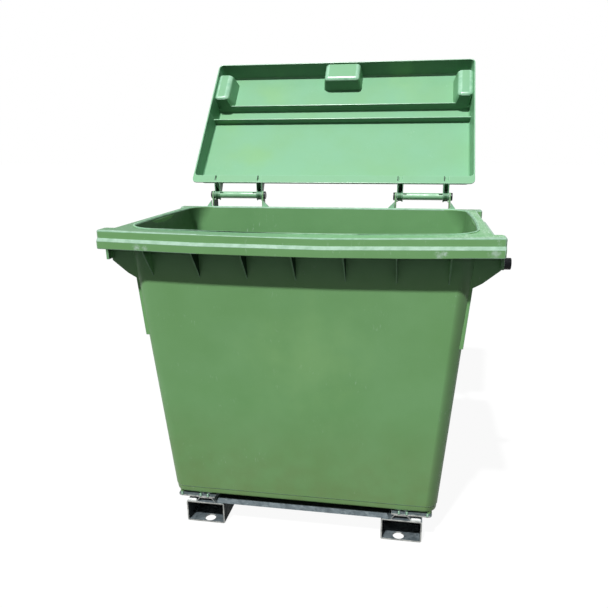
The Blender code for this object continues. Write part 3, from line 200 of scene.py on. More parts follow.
@dataclass(frozen=True)
class Canvas:
    """A new material with its shader, its place in metres and its facing."""

    material: bpy.types.Material
    tree: bpy.types.NodeTree
    shader: bpy.types.Node
    place: Socket
    facing: Socket

    @classmethod
    def named(cls, title: str) -> "Canvas":
        """Make an empty material.

        Args:
            title: the material's name.

        Returns:
            The canvas that a finish is drawn on.
        """
        material = bpy.data.materials.new(title)
        material.use_nodes = True
        tree = material.node_tree
        where = add_node(tree, "ShaderNodeTexCoord")
        return cls(material, tree, tree.nodes["Principled BSDF"], where.outputs["Object"], where.outputs["Normal"])

    def feed(self, name: str, value: object) -> None:
        """Set or link one input of the shader.

        Args:
            name: the input.
            value: its value, or the socket that is linked to it.
        """
        if isinstance(value, bpy.types.NodeSocket):
            self.tree.links.new(value, self.shader.inputs[name])
        else:
            self.shader.inputs[name].default_value = value

    def product(self, *shares: Socket | float) -> Socket | float:
        """Multiply masks and strengths with one another.

        Args:
            shares: the masks and strengths.

        Returns:
            Their product, held between 0 and 1, or a share that stands alone as it is.
        """
        result = shares[0]
        for share in shares[1:]:
            result = add_node(self.tree, "ShaderNodeMath", {0: result, 1: share}, operation="MULTIPLY",
                              use_clamp=True).outputs[0]
        return result

    def laid(self, base: Socket | tuple, code: str, *shares: Socket | float) -> Socket:
        """Lay a colour over another one.

        Args:
            base: the colour below.
            code: the upper colour, as six hex digits.
            shares: masks and strengths whose product says how much of the upper colour shows.

        Returns:
            A socket with the mixed colour.
        """
        values = {0: self.product(*shares), 6: base, 7: linear(code)}
        return add_node(self.tree, "ShaderNodeMix", values, data_type="RGBA").outputs[2]

    def rise(self, source: Socket, axis: str, start: float, end: float, least: float = 0.0) -> Socket:
        """A mask that follows one direction of a vector.

        Args:
            source: the vector.
            axis: the direction's letter.
            start: the level at which the mask is at its least.
            end: the level at which the mask is 1.
            least: the mask's lowest value.

        Returns:
            A socket with the mask.
        """
        parts = add_node(self.tree, "ShaderNodeSeparateXYZ", {0: source})
        ramp = add_node(self.tree, "ShaderNodeMapRange",
                        {"Value": parts.outputs[axis], "From Min": start, "From Max": end, "To Min": least})
        return ramp.outputs["Result"]

    def upward(self, start: float, end: float) -> Socket:
        """A mask of the faces that look up, from a slope to a steeper one."""
        return self.rise(self.facing, "Z", start, end)

    def height(self, low: float, high: float) -> Socket:
        """A mask that rises from 0 at one height to 1 at another."""
        return self.rise(self.place, "Z", low, high)

    def behind(self, start: float, end: float) -> Socket:
        """A mask that rises from 0 to 1 with the distance along Y."""
        return self.rise(self.place, "Y", start, end)

    def corner_right(self) -> Socket:
        """A mask of the rounds that turn from the front or back to the right side.

        Returns:
            A socket with the mask, which is 1 halfway round.
        """
        turn = self.rise(self.facing, "X", 0.0, 1.0)
        rest = add_node(self.tree, "ShaderNodeMath", {0: 1.0, 1: turn}, operation="SUBTRACT").outputs[0]
        return self.product(turn, rest, 4.0)

    def stretched(self, across: float, along: float, up: float) -> Socket:
        """The place with each direction scaled, for streaks.

        Args:
            across: the scale along X.
            along: the scale along Y.
            up: the scale along Z.

        Returns:
            A socket with the scaled place.
        """
        node = add_node(self.tree, "ShaderNodeVectorMath", {0: self.place, 1: (across, along, up)},
                        operation="MULTIPLY")
        return node.outputs[0]

    def bump(self, *layers: tuple[Socket, float]) -> None:
        """Stack height patterns on the surface.

        Args:
            layers: each a pattern and its depth in millimetres.
        """
        normal = None
        for pattern, depth_mm in layers:
            values = {"Height": pattern, "Distance": depth_mm * MM, "Strength": 1.0}
            if normal is not None:
                values["Normal"] = normal
            normal = add_node(self.tree, "ShaderNodeBump", values).outputs["Normal"]
        self.feed("Normal", normal)


# Finishes

@dataclass(frozen=True)
class ColourPatch:
    """A soft patch of another colour round one point of a piece: a stain, a scuff, a painted pool of light or painted
    glare.
    """

    centre: tuple[float, float, float]
    radius: float
    colour: str
    strength: float
    wander_mm: float = 90.0
    wander: float = 1.4
    core: float = 0.5
    rim: float = 1.5

    def mask(self, canvas: Canvas) -> Socket:
        """Fade from the patch's strength at its centre to nothing at its ragged rim.

        Args:
            canvas: the material that gets the patch.

        Returns:
            A socket with the mask.
        """
        away = add_node(canvas.tree, "ShaderNodeVectorMath", {0: canvas.place, 1: self.centre}, operation="DISTANCE")
        wander = add_node(canvas.tree, "ShaderNodeTexNoise",
                          {"Vector": canvas.place, "Scale": 1 / (self.wander_mm * MM), "Detail": 5.0})
        push = canvas.product(wander.outputs["Fac"], self.radius * self.wander)
        distance = add_node(canvas.tree, "ShaderNodeMath", {0: away.outputs["Value"], 1: push}, operation="ADD",
                            use_clamp=True).outputs[0]
        ramp = add_node(canvas.tree, "ShaderNodeMapRange",
                        {"Value": distance, "From Min": self.radius * self.core, "From Max": self.radius * self.rim,
                         "To Min": self.strength, "To Max": 0.0}, interpolation_type="SMOOTHSTEP")
        return ramp.outputs["Result"]


@dataclass(frozen=True)
class PaintedShade:
    """Painted shade: faces that look one way within a part of the piece are painted darker, as if shaded by the
    shelter they stand in.
    """

    way: tuple[float, float, float]
    start: float
    end: float
    near: float
    far: float
    colour: str
    strength: float

    def mask(self, canvas: Canvas) -> Socket:
        """Grow with the facing along the way and with the distance along it.

        Args:
            canvas: the material that gets the painted shade.

        Returns:
            A socket with the mask.
        """
        facing = add_node(canvas.tree, "ShaderNodeVectorMath", {0: canvas.facing, 1: self.way},
                          operation="DOT_PRODUCT")
        turned = add_node(canvas.tree, "ShaderNodeMapRange",
                          {"Value": facing.outputs["Value"], "From Min": self.start, "From Max": self.end,
                           "To Max": self.strength}, interpolation_type="SMOOTHSTEP")
        place = add_node(canvas.tree, "ShaderNodeVectorMath", {0: canvas.place, 1: self.way},
                         operation="DOT_PRODUCT")
        deep = add_node(canvas.tree, "ShaderNodeMapRange",
                        {"Value": place.outputs["Value"], "From Min": self.near, "From Max": self.far})
        return canvas.product(turned.outputs["Result"], deep.outputs["Result"])


@dataclass(frozen=True)
class MouldedPolyethylene:
    """High density polyethylene, injection moulded: a waxy satin skin that bleaches pale where the sun reaches it,
    with painted light and shade.
    """

    title: str
    colour: str
    patch_colour: str
    # Pale for the bleaching, and for the painted sky sheen on faces that look up.
    bleached_colour: str = "a0d0b0"
    scuff_colour: str = "cfe6d6"
    soil_colour: str = "6f7d48"
    shade_colour: str = "7fb183"
    roughness: float = 0.44
    shine: float = 0.32
    bleach: float = 0.25
    scuff: float = 0.30
    shade: float = 0.0
    shade_low: float = 0.925
    shade_high: float = 1.035
    shade_end: float = 1.0378
    shade_face: float = -0.632
    # Painted near-black shade just under the rim's bars.
    crevice: float = 26 * MM
    crevice_colour: str = "0a120c"
    soil: float = 0.40
    # Painted shade on the rounds that turn to the right, away from the sun.
    grime: float = 0.0
    grime_colour: str = "4f6a45"
    soil_low: float = 0.12
    soil_high: float = 0.50
    soil_mm: float = 75.0
    soil_least: float = 0.45
    patch_mm: float = 170.0
    sun_slopes: tuple[float, float] = (0.25, 0.75)
    scuff_mm: float = 7.0
    scuff_lengths: tuple[float, float, float] = (1.0, 1.0, 0.35)
    scuff_group_mm: float = 110.0
    sheltered_shine: float = 0.5
    face_depth: float = 9 * MM
    dull_mm: float = 35.0
    smoother: float = 0.05
    duller: float = 0.09
    # Big mouldings sink and swell by a millimetre or two between their ribs.
    wave_mm: float = 120.0
    wave_depth_mm: float = 1.6
    # The mould's fine sparked grain is drawn about three times too coarse, so that it shows.
    grain_mm: float = 1.6
    grain_depth_mm: float = 0.05
    stains: tuple[ColourPatch | PaintedShade, ...] = ()

    def material(self) -> bpy.types.Material:
        """Draw the finish.

        Returns:
            The new material.
        """
        canvas = Canvas.named(self.title)
        tree = canvas.tree
        patches = noise_mask(tree, canvas.place, self.patch_mm, 0.35, 0.68)
        colour = canvas.laid(linear(self.colour), self.patch_colour, patches)
        # Stains, and the listed patches of painted light and painted shade.
        for stain in self.stains:
            colour = canvas.laid(colour, stain.colour, stain.mask(canvas))
        # Faces that look up are bleached pale, and painted paler still for the sky's sheen.
        colour = canvas.laid(colour, self.bleached_colour, canvas.upward(*self.sun_slopes), self.bleach)
        if self.soil:
            colour = canvas.laid(colour, self.soil_colour, self.soil_mask(canvas))
        # Painted shade on the rounds that turn to the right, away from the sun.
        if self.grime:
            colour = canvas.laid(colour, self.grime_colour, canvas.corner_right(), self.grime)
        shine = self.shine
        if self.shade:
            # Painted shade under the rim's bars, where their shadow falls, near-black just under them; the skin
            # shines less there.
            hidden = self.hidden(canvas)
            shelter = canvas.product(canvas.height(self.shade_low, self.shade_high), hidden)
            colour = canvas.laid(colour, self.shade_colour, shelter)
            crevice = canvas.height(self.shade_end - self.crevice, self.shade_end)
            colour = canvas.laid(colour, self.crevice_colour, crevice, hidden)
            matt = add_node(tree, "ShaderNodeMapRange",
                            {"Value": shelter, "To Min": self.shine, "To Max": self.shine * self.sheltered_shine})
            shine = matt.outputs["Result"]
        colour = canvas.laid(colour, self.scuff_colour, self.scuff_mask(canvas))
        canvas.feed("Base Color", colour)
        dull = add_node(tree, "ShaderNodeMapRange",
                        {"Value": noise_mask(tree, canvas.place, self.dull_mm, 0.3, 0.7),
                         "To Min": self.roughness - self.smoother, "To Max": self.roughness + self.duller})
        canvas.feed("Roughness", dull.outputs["Result"])
        # Polyethylene bends light a little more than common glass, and its chalked skin shines less.
        canvas.feed("IOR", POLYETHYLENE_IOR)
        canvas.feed("Specular IOR Level", shine)
        grain = add_node(tree, "ShaderNodeTexNoise",
                         {"Vector": canvas.place, "Scale": 1 / (self.grain_mm * MM), "Detail": 2.0})
        waves = add_node(tree, "ShaderNodeTexNoise", {"Vector": canvas.place, "Scale": 1 / (self.wave_mm * MM)})
        canvas.bump((waves.outputs["Fac"], self.wave_depth_mm), (grain.outputs["Fac"], self.grain_depth_mm))
        return canvas.material

    def hidden(self, canvas: Canvas) -> Socket:
        """Tell the skin behind and under the rim's bars, where little light comes.

        Args:
            canvas: the material.

        Returns:
            A socket with the mask, up to the shade's strength.
        """
        above = canvas.height(self.shade_end, self.shade_end + 2 * MM)
        below = add_node(canvas.tree, "ShaderNodeMath", {0: self.shade, 1: above}, operation="SUBTRACT",
                         use_clamp=True).outputs[0]
        return canvas.product(below, canvas.behind(self.shade_face, self.shade_face + self.face_depth))

    def soil_mask(self, canvas: Canvas) -> Socket:
        """Earth splashed on the lowest part of the wall, in patches.

        Args:
            canvas: the material.

        Returns:
            A socket with the mask.
        """
        low = add_node(canvas.tree, "ShaderNodeMath", {0: 1.0, 1: canvas.height(self.soil_low, self.soil_high)},
                       operation="SUBTRACT").outputs[0]
        patchy = add_node(canvas.tree, "ShaderNodeMapRange",
                          {"Value": noise_mask(canvas.tree, canvas.place, self.soil_mm, 0.30, 0.72, 5.0),
                           "To Min": self.soil_least})
        return canvas.product(low, patchy.outputs["Result"], self.soil)

    def scuff_mask(self, canvas: Canvas) -> Socket:
        """Pale scuffs in loose groups.

        Args:
            canvas: the material.

        Returns:
            A socket with the mask.
        """
        drawn = canvas.stretched(*self.scuff_lengths)
        streaks = noise_mask(canvas.tree, drawn, self.scuff_mm, 0.62, 0.72, 4.0)
        groups = noise_mask(canvas.tree, canvas.place, self.scuff_group_mm, 0.55, 0.72)
        return canvas.product(streaks, groups, self.scuff)


@dataclass(frozen=True)
class ScouredPolyethylene:
    """The same plastic on the rim's top: scoured by the lid and by loads, chalky and mottled."""

    title: str
    colour: str
    chalk_colour: str
    shaded_colour: str = "648f69"
    hard_from: float = 0.30
    hard_to: float = 0.52
    hard_least: float = 0.10
    lit_from: float = -0.45
    lit_to: float = 0.10
    rear_from: float = 0.0
    rear_to: float = 0.06
    mottle_mm: float = 6.0
    mottle_depth_mm: float = 0.10
    cloud_mm: float = 45.0
    roughness: float = 0.50
    shine: float = 0.10

    def material(self) -> bpy.types.Material:
        """Draw the finish.

        Returns:
            The new material.
        """
        canvas = Canvas.named(self.title)
        tree = canvas.tree
        # The right end of this rim is scoured hardest, and its left end and its rear get painted shade.
        hard = canvas.rise(canvas.place, "X", self.hard_from, self.hard_to, self.hard_least)
        values = {0: canvas.rise(canvas.place, "X", self.lit_from, self.lit_to),
                  1: canvas.behind(self.rear_from, self.rear_to)}
        lit = add_node(tree, "ShaderNodeMath", values, operation="SUBTRACT", use_clamp=True).outputs[0]
        base = canvas.laid(linear(self.shaded_colour), self.colour, lit)
        fine = noise_mask(tree, canvas.place, self.mottle_mm, 0.44, 0.66, 7.0)
        broad = noise_mask(tree, canvas.place, self.cloud_mm, 0.35, 0.62)
        canvas.feed("Base Color", canvas.laid(base, self.chalk_colour, fine, hard, broad))
        canvas.feed("Roughness", self.roughness)
        canvas.feed("IOR", POLYETHYLENE_IOR)
        canvas.feed("Specular IOR Level", self.shine)
        canvas.bump((fine, self.mottle_depth_mm))
        return canvas.material


@dataclass(frozen=True)
class WornPolyethylene:
    """The same plastic on its edges: rubbed pale and polished by hands and loads, and painted paler for the
    highlights they catch.
    """

    title: str
    colour: str
    rubbed_colour: str
    rubbed_mm: float = 26.0
    # The mould's grain, drawn about four times too coarse, so that it shows on a round of a millimetre.
    grain_mm: float = 2.2
    grain_depth_mm: float = 0.08
    roughness: float = 0.34
    shine: float = 0.6

    def material(self) -> bpy.types.Material:
        """Draw the finish.

        Returns:
            The new material.
        """
        canvas = Canvas.named(self.title)
        rubbed = noise_mask(canvas.tree, canvas.place, self.rubbed_mm, 0.30, 0.62, 5.0)
        canvas.feed("Base Color", canvas.laid(linear(self.colour), self.rubbed_colour, rubbed))
        canvas.feed("Roughness", self.roughness)
        canvas.feed("IOR", POLYETHYLENE_IOR)
        canvas.feed("Specular IOR Level", self.shine)
        grain = add_node(canvas.tree, "ShaderNodeTexNoise",
                         {"Vector": canvas.place, "Scale": 1 / (self.grain_mm * MM)})
        canvas.bump((grain.outputs["Fac"], self.grain_depth_mm))
        return canvas.material


@dataclass(frozen=True)
class BlackPolyamide:
    """Black polyamide, moulded: a smooth dark skin with a soft bluish shine and a little dust."""

    title: str
    colour: str = "16181b"
    dust_colour: str = "33363a"
    dust_mm: float = 7.0
    dust: float = 0.5
    # The mould's grain, drawn about twice too coarse, so that it shows.
    grain_mm: float = 1.2
    grain_depth_mm: float = 0.03
    roughness: float = 0.30
    shine: float = 0.35

    def material(self) -> bpy.types.Material:
        """Draw the finish.

        Returns:
            The new material.
        """
        canvas = Canvas.named(self.title)
        dust = noise_mask(canvas.tree, canvas.place, self.dust_mm, 0.45, 0.8)
        canvas.feed("Base Color", canvas.laid(linear(self.colour), self.dust_colour, dust, self.dust))
        canvas.feed("Roughness", self.roughness)
        canvas.feed("IOR", POLYAMIDE_IOR)
        canvas.feed("Specular IOR Level", self.shine)
        grain = add_node(canvas.tree, "ShaderNodeTexNoise",
                         {"Vector": canvas.place, "Scale": 1 / (self.grain_mm * MM)})
        canvas.bump((grain.outputs["Fac"], self.grain_depth_mm))
        return canvas.material


@dataclass(frozen=True)
class HotDipGalvanised:
    """Mild steel, dipped in molten zinc: a grey skin of crystals that weathers dull and dark."""

    title: str
    light_colour: str = "8b979c"
    dark_colour: str = "6c797f"
    grime_colour: str = "2c3234"
    roughness: float = 0.50
    metallic: float = 0.65
    shine: float = 0.5
    grime: float = 0.35
    # Bright zinc spray over the burnt weld zones, painted near white for the sun's glare.
    sprays: tuple[ColourPatch, ...] = ()
    # Crystals of 8 to 15 mm are common on hot-dip zinc, and their borders wander by a few millimetres.
    crystal_mm: float = 11.0
    wander_mm: float = 9.0
    wander: float = 4 * MM
    dirt_mm: float = 30.0
    drip_mm: float = 5.0
    crystal_depth_mm: float = 0.05
    drip_depth_mm: float = 0.15
    smoother: float = 0.08
    duller: float = 0.12

    def material(self) -> bpy.types.Material:
        """Draw the finish.

        Returns:
            The new material.
        """
        canvas = Canvas.named(self.title)
        tree = canvas.tree
        wander = add_node(tree, "ShaderNodeTexNoise", {"Vector": canvas.place, "Scale": 1 / (self.wander_mm * MM)})
        pushed = add_node(tree, "ShaderNodeVectorMath",
                          {0: wander.outputs["Color"], 1: (self.wander,) * 3}, operation="MULTIPLY")
        shifted = add_node(tree, "ShaderNodeVectorMath", {0: canvas.place, 1: pushed.outputs[0]}, operation="ADD")
        crystals = add_node(tree, "ShaderNodeTexVoronoi",
                            {"Vector": shifted.outputs[0], "Scale": 1 / (self.crystal_mm * MM)})
        parts = add_node(tree, "ShaderNodeSeparateColor", {0: crystals.outputs["Color"]})
        colour = canvas.laid(linear(self.dark_colour), self.light_colour, parts.outputs[0])
        dirt = noise_mask(tree, canvas.place, self.dirt_mm, 0.42, 0.72, 6.0)
        colour = canvas.laid(colour, self.grime_colour, dirt, self.grime)
        for spray in self.sprays:
            colour = canvas.laid(colour, spray.colour, spray.mask(canvas))
        canvas.feed("Base Color", colour)
        canvas.feed("Metallic", self.metallic)
        canvas.feed("Specular IOR Level", self.shine)
        dull = add_node(tree, "ShaderNodeMapRange",
                        {"Value": parts.outputs[1], "To Min": self.roughness - self.smoother,
                         "To Max": self.roughness + self.duller})
        canvas.feed("Roughness", dull.outputs["Result"])
        drips = add_node(tree, "ShaderNodeTexNoise",
                         {"Vector": canvas.place, "Scale": 1 / (self.drip_mm * MM), "Detail": 4.0})
        canvas.bump((crystals.outputs["Distance"], self.crystal_depth_mm), (drips.outputs["Fac"], self.drip_depth_mm))
        return canvas.material


@dataclass(frozen=True)
class ZincPlate:
    """Steel fasteners, electroplated with zinc: bright and even, with faint rust in places."""

    title: str
    colour: str = "b4b8b8"
    rust_colour: str = "7a5a40"
    rust_mm: float = 6.0
    rust: float = 0.6
    metallic: float = 0.85
    roughness: float = 0.34

    def material(self) -> bpy.types.Material:
        """Draw the finish.

        Returns:
            The new material.
        """
        canvas = Canvas.named(self.title)
        rust = noise_mask(canvas.tree, canvas.place, self.rust_mm, 0.60, 0.78, 5.0)
        canvas.feed("Base Color", canvas.laid(linear(self.colour), self.rust_colour, rust, self.rust))
        canvas.feed("Metallic", self.metallic)
        canvas.feed("Roughness", self.roughness)
        return canvas.material


# Where the skin is sprayed, stained or scuffed, and where light, glare or shade is painted on it: centre, radius,
# colour, strength and the size of the rim's wander
# Zinc spray at the welds on the pockets' tops, painted near white for the sun's glare.
ZINC_SPRAYS_AND_GLARE = (
    ColourPatch((-0.415, -0.535, 0.086), 0.034, "eceeec", 1.0, 20.0),
    ColourPatch((0.405, -0.535, 0.086), 0.036, "eceeec", 1.0, 20.0),
)
WALL_STAINS_AND_LIGHT = (
    # A painted pool of light in the middle of the front wall.
    ColourPatch((0.02, -0.55, 0.66), 0.34, "86b677", 0.60),
    # Pale scuffs on the front bar.
    ColourPatch((-0.487, -0.6367, 1.047), 0.020, "b9d3c0", 0.9, 9.0),
    ColourPatch((-0.460, -0.6367, 1.044), 0.016, "b9d3c0", 0.8, 7.0),
    ColourPatch((0.436, -0.6367, 1.043), 0.022, "c3dacb", 0.9, 8.0),
    ColourPatch((0.452, -0.6367, 1.049), 0.015, "c3dacb", 0.9, 6.0),
    ColourPatch((0.590, -0.6367, 1.052), 0.026, "b9d3c0", 0.8, 8.0),
    ColourPatch((0.604, -0.6367, 1.075), 0.018, "b9d3c0", 0.7, 7.0),
)
BIN_PAINTED_SHADE = (
    # Painted shade on the inner left wall, whose faces look right, away from the sun.
    PaintedShade((1, 0, 0), 0.25, 0.95, 0.0, -0.35, "34573c", 0.75),
)
LID_STAINS_AND_SHADE = (
    # Painted shade on the faces inside the lid that look towards the hinge.
    PaintedShade((0, 0.682, 0.731), -0.32, -0.97, 0.99, 1.01, "5a8063", 1.0),
    # Stains on the lid's inner face.
    ColourPatch((-0.36, 0.30, 1.27), 0.17, "7fb36a", 0.40),
    ColourPatch((-0.50, 0.42, 1.44), 0.13, "7fb36a", 0.35),
    ColourPatch((-0.30, 0.55, 1.56), 0.16, "84b87a", 0.50),
    ColourPatch((0.30, 0.57, 1.60), 0.20, "84b87a", 0.45),
)


@dataclass(frozen=True)
class Finishes:
    """Every finish of the bin, made once."""

    # The body, with painted shade under the rim and on its right corner, a painted pool of light and a painted sky
    # sheen.
    body: bpy.types.Material = field(default_factory=lambda: MouldedPolyethylene(
        "moulded_polyethylene_body", "78aa70", "72a468", shade=0.88, grime=0.55, soil=0.55,
        stains=WALL_STAINS_AND_LIGHT).material())
    # The inside, with painted shade on its inner left wall.
    body_inside: bpy.types.Material = field(default_factory=lambda: MouldedPolyethylene(
        "moulded_polyethylene_inside", "72a56e", "6c9f68", bleach=0.0, soil=0.0, stains=BIN_PAINTED_SHADE).material())
    body_top: bpy.types.Material = field(default_factory=lambda: ScouredPolyethylene(
        "scoured_polyethylene_rim", "78ae7c", "bfd9c6").material())
    # The mouth's bead: worn pale, and painted paler for its highlight.
    body_bead: bpy.types.Material = field(default_factory=lambda: WornPolyethylene(
        "worn_polyethylene_bead", "84b08e", "9cc9aa", roughness=0.46, shine=0.12).material())
    # Painted shade: dark green for the ribs under the front bar and the lugs' faces that look right.
    body_rib: bpy.types.Material = field(default_factory=lambda: MouldedPolyethylene(
        "moulded_polyethylene_rib", "2a4430", "213827", bleach=0.0, soil=0.0, scuff=0.0, shine=0.04).material())
    # The ledges and rounded edges: worn pale, and painted paler for their highlights.
    body_edge: bpy.types.Material = field(default_factory=lambda: WornPolyethylene(
        "worn_polyethylene_body_edge", "81a88b", "9ebfaa", roughness=0.46, shine=0.3).material())
    # The lid's tray, with its stain patches and with painted shade on the faces that look towards the hinge.
    lid: bpy.types.Material = field(default_factory=lambda: MouldedPolyethylene(
        "moulded_polyethylene_lid", "79b189", "78ae80", bleach=0.10, soil=0.0, scuff=0.15,
        stains=LID_STAINS_AND_SHADE).material())
    # The tray's rounds: worn pale, and painted paler for their highlights, on a glossier skin.
    lid_edge: bpy.types.Material = field(default_factory=lambda: WornPolyethylene(
        "worn_polyethylene_lid_edge", "86c09a", "a4d4b4", roughness=0.27, shine=0.7).material())
    # Painted shade: a darker copy of the lid's plastic for its left inner side.
    lid_side: bpy.types.Material = field(default_factory=lambda: MouldedPolyethylene(
        "moulded_polyethylene_lid_side", "6a9f7b", "659a74", bleach=0.0, soil=0.0, shine=0.2).material())
    # Painted shadow: dark slabs for the shade in the lid flange's recesses and in the sleeves' slots.
    gap: bpy.types.Material = field(default_factory=lambda: MouldedPolyethylene(
        "moulded_polyethylene_slot", "1f3527", "18291e", bleach=0.0, soil=0.0, scuff=0.0).material())
    # Painted shade: a darker copy of the lid's plastic for the arms behind it.
    lid_arm: bpy.types.Material = field(default_factory=lambda: MouldedPolyethylene(
        "moulded_polyethylene_arm", "4f7f58", "3c6646", bleach=0.3, soil=0.0).material())
    # The sleeves: a glossy skin, painted paler for their highlight.
    sleeve: bpy.types.Material = field(default_factory=lambda: MouldedPolyethylene(
        "moulded_polyethylene_sleeve", "92c89e", "88bd92", roughness=0.17, shine=0.9, soil=0.0).material())
    cap: bpy.types.Material = field(default_factory=lambda: BlackPolyamide("black_polyamide_cap").material())
    trunnion: bpy.types.Material = field(default_factory=lambda: BlackPolyamide(
        "black_polyamide_trunnion", colour="0e1014", roughness=0.26, shine=0.10).material())
    galvanised: bpy.types.Material = field(default_factory=lambda: HotDipGalvanised(
        "hot_dip_galvanised_steel", sprays=ZINC_SPRAYS_AND_GLARE).material())
    # Painted shade: dark steel for the pockets' inner faces and the rails' tops under the bin.
    galvanised_inside: bpy.types.Material = field(default_factory=lambda: HotDipGalvanised(
        "hot_dip_galvanised_inside", light_colour="3b4143", dark_colour="2a2f31", metallic=0.1,
        roughness=0.75, shine=0.15).material())
    # Sheared ends and rounded edges: bare cut metal, painted paler for the highlights they catch.
    cut_edge: bpy.types.Material = field(default_factory=lambda: HotDipGalvanised(
        "galvanised_cut_edge", light_colour="c6c7c2", dark_colour="989b98", metallic=0.2, grime=0.3).material())
    # Weld pads of zinc spray, painted near white for the sun's glare.
    spray: bpy.types.Material = field(default_factory=lambda: HotDipGalvanised(
        "zinc_sprayed_weld_pad", light_colour="f0f2f0", dark_colour="cfd6d3", metallic=0.15, grime=0.25).material())
    stud: bpy.types.Material = field(default_factory=lambda: ZincPlate(
        "zinc_plated_stud", colour="8fb09c", roughness=0.5).material())
    weld: bpy.types.Material = field(default_factory=lambda: HotDipGalvanised(
        "galvanised_weld_bead", light_colour="8b9699", dark_colour="6f7a7e", roughness=0.42,
        crystal_mm=5.0).material())
    zinc: bpy.types.Material = field(default_factory=lambda: ZincPlate("zinc_plated_steel").material())


# Making meshes

def new_piece(name: str, form: bmesh.types.BMesh, paints: list[bpy.types.Material]) -> bpy.types.Object:
    """Turn a form into a shown object.

    Args:
        name: the piece's name.
        form: its shape, which is used up.
        paints: its materials, in the order of its faces' slots.

    Returns:
        The new object.
    """
    mesh = bpy.data.meshes.new(name)
    form.to_mesh(mesh)
    form.free()
    piece = bpy.data.objects.new(name, mesh)
    bpy.context.scene.collection.objects.link(piece)
    for paint in paints:
        mesh.materials.append(paint)
    return piece


@dataclass(frozen=True)
class Softening:
    """How the outer edges of a node are rounded: the width of the round and which edges get it."""

    width: float
    steps: int = 2
    least_angle: float = radians(40)
    sharp_angle: float = radians(34)
    flat_angle: float = radians(0.6)
    weld: float = 0.00001

    def form_of(self, node: str) -> bmesh.types.BMesh:
        """Copy a node's mesh and dissolve its flat triangles.

        Args:
            node: the node's name.

        Returns:
            The clean form.
        """
        form = bmesh.new()
        form.from_mesh(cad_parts[node].data)
        bmesh.ops.remove_doubles(form, verts=form.verts, dist=self.weld)
        bmesh.ops.dissolve_limit(form, angle_limit=self.flat_angle, verts=form.verts, edges=form.edges)
        return form

    def part_normals(self, mesh: bpy.types.Mesh) -> None:
        """Keep the shading of two faces apart wherever they meet at more than the sharp angle.

        Args:
            mesh: the piece's mesh.
        """
        form = bmesh.new()
        form.from_mesh(mesh)
        for edge in form.edges:
            edge.smooth = len(edge.link_faces) == 2 and edge.calc_face_angle(0.0) < self.sharp_angle
        form.to_mesh(mesh)
        form.free()

    def apply(self, node: str, name: str, paints: list[bpy.types.Material], body: Body, slot: Slot,
              mark: Callable[[bmesh.types.BMFace], int] | None = None,
              shape: Callable[[bmesh.types.BMesh], None] | None = None) -> bpy.types.Object:
        """Make the softened piece that stands for a node.

        Args:
            node: the node that is replaced.
            name: the piece's name.
            paints: the material of the faces, then that of the rounded edges, then any others.
            body: the body that it rides on.
            slot: the record's slot of its finish; not used.
            mark: gives a face's material number, where it isn't the first.
            shape: shapes the form finer than the node.

        Returns:
            The piece.
        """
        form = self.form_of(node)
        if shape is not None:
            shape(form)
            form.normal_update()
        if mark is not None:
            for face in form.faces:
                face.material_index = mark(face)
        weights = form.edges.layers.float.new("bevel_weight_edge")
        for edge in form.edges:
            if edge.is_manifold and edge.is_convex and edge.calc_face_angle() > self.least_angle:
                edge[weights] = 1.0
        piece = new_piece(name, form, paints)
        rounding = piece.modifiers.new("rounding", "BEVEL")
        rounding.width = self.width
        rounding.segments = self.steps
        rounding.limit_method = "WEIGHT"
        rounding.use_clamp_overlap = False
        rounding.material = 1 if len(paints) > 1 else -1
        settle(piece)
        piece.data.shade_smooth()
        self.part_normals(piece.data)
        weighing = piece.modifiers.new("weighing", "WEIGHTED_NORMAL")
        weighing.keep_sharp = True
        settle(piece)
        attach(piece, body.value)
        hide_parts(node)
        return piece


def settle(piece: bpy.types.Object) -> None:
    """Write a piece's modifiers into its mesh.

    Args:
        piece: the piece.
    """
    bpy.context.view_layer.update()
    graph = bpy.context.evaluated_depsgraph_get()
    mesh = bpy.data.meshes.new_from_object(piece.evaluated_get(graph))
    piece.modifiers.clear()
    piece.data = mesh


def dress(node: str, paint: bpy.types.Material) -> None:
    """Give a node of the model that stays in sight its finish.

    Args:
        node: the node's name.
        paint: its material.
    """
    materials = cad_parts[node].data.materials
    materials.clear()
    materials.append(paint)


def stadium(name: str, start: Vector, end: Vector, width: float, out: Vector, span: tuple[float, float],
            paints: list[bpy.types.Material], steps: int = 8) -> bpy.types.Object:
    """Make a slim bar with half-round ends and a rounded rim, lying along a line.

    Args:
        name: the piece's name.
        start: the middle of one half-round end.
        end: the middle of the other.
        width: the bar's width.
        out: the way its top looks.
        span: how far its foot and its top lie from the line, along out.
        paints: its materials.
        steps: faces in each half-round end.

    Returns:
        The piece.
    """
    ahead = (end - start).normalized()
    aside = out.cross(ahead).normalized()
    rounding = min(0.3 * (span[1] - span[0]), 0.3 * width)
    form = bmesh.new()
    rings = []
    for lift, shrink in ((span[0], 0.0), (span[1] - rounding, 0.0), (span[1], rounding)):
        ring = []
        for middle, base in ((end, -pi / 2), (start, pi / 2)):
            for number in range(steps + 1):
                turn = base + pi * number / steps
                reach = ahead * cos(turn) + aside * sin(turn)
                ring.append(form.verts.new(middle + reach * (width / 2 - shrink) + out * lift))
        rings.append(ring)
    form.faces.new(rings[0])
    form.faces.new(rings[-1])
    for low, high in zip(rings, rings[1:]):
        for number in range(len(low)):
            follower = (number + 1) % len(low)
            form.faces.new((low[number], low[follower], high[follower], high[number]))
    bmesh.ops.recalc_face_normals(form, faces=form.faces)
    piece = new_piece(name, form, paints)
    piece.data.shade_smooth()
    piece.data.set_sharp_from_angle(angle=radians(50))
    return piece


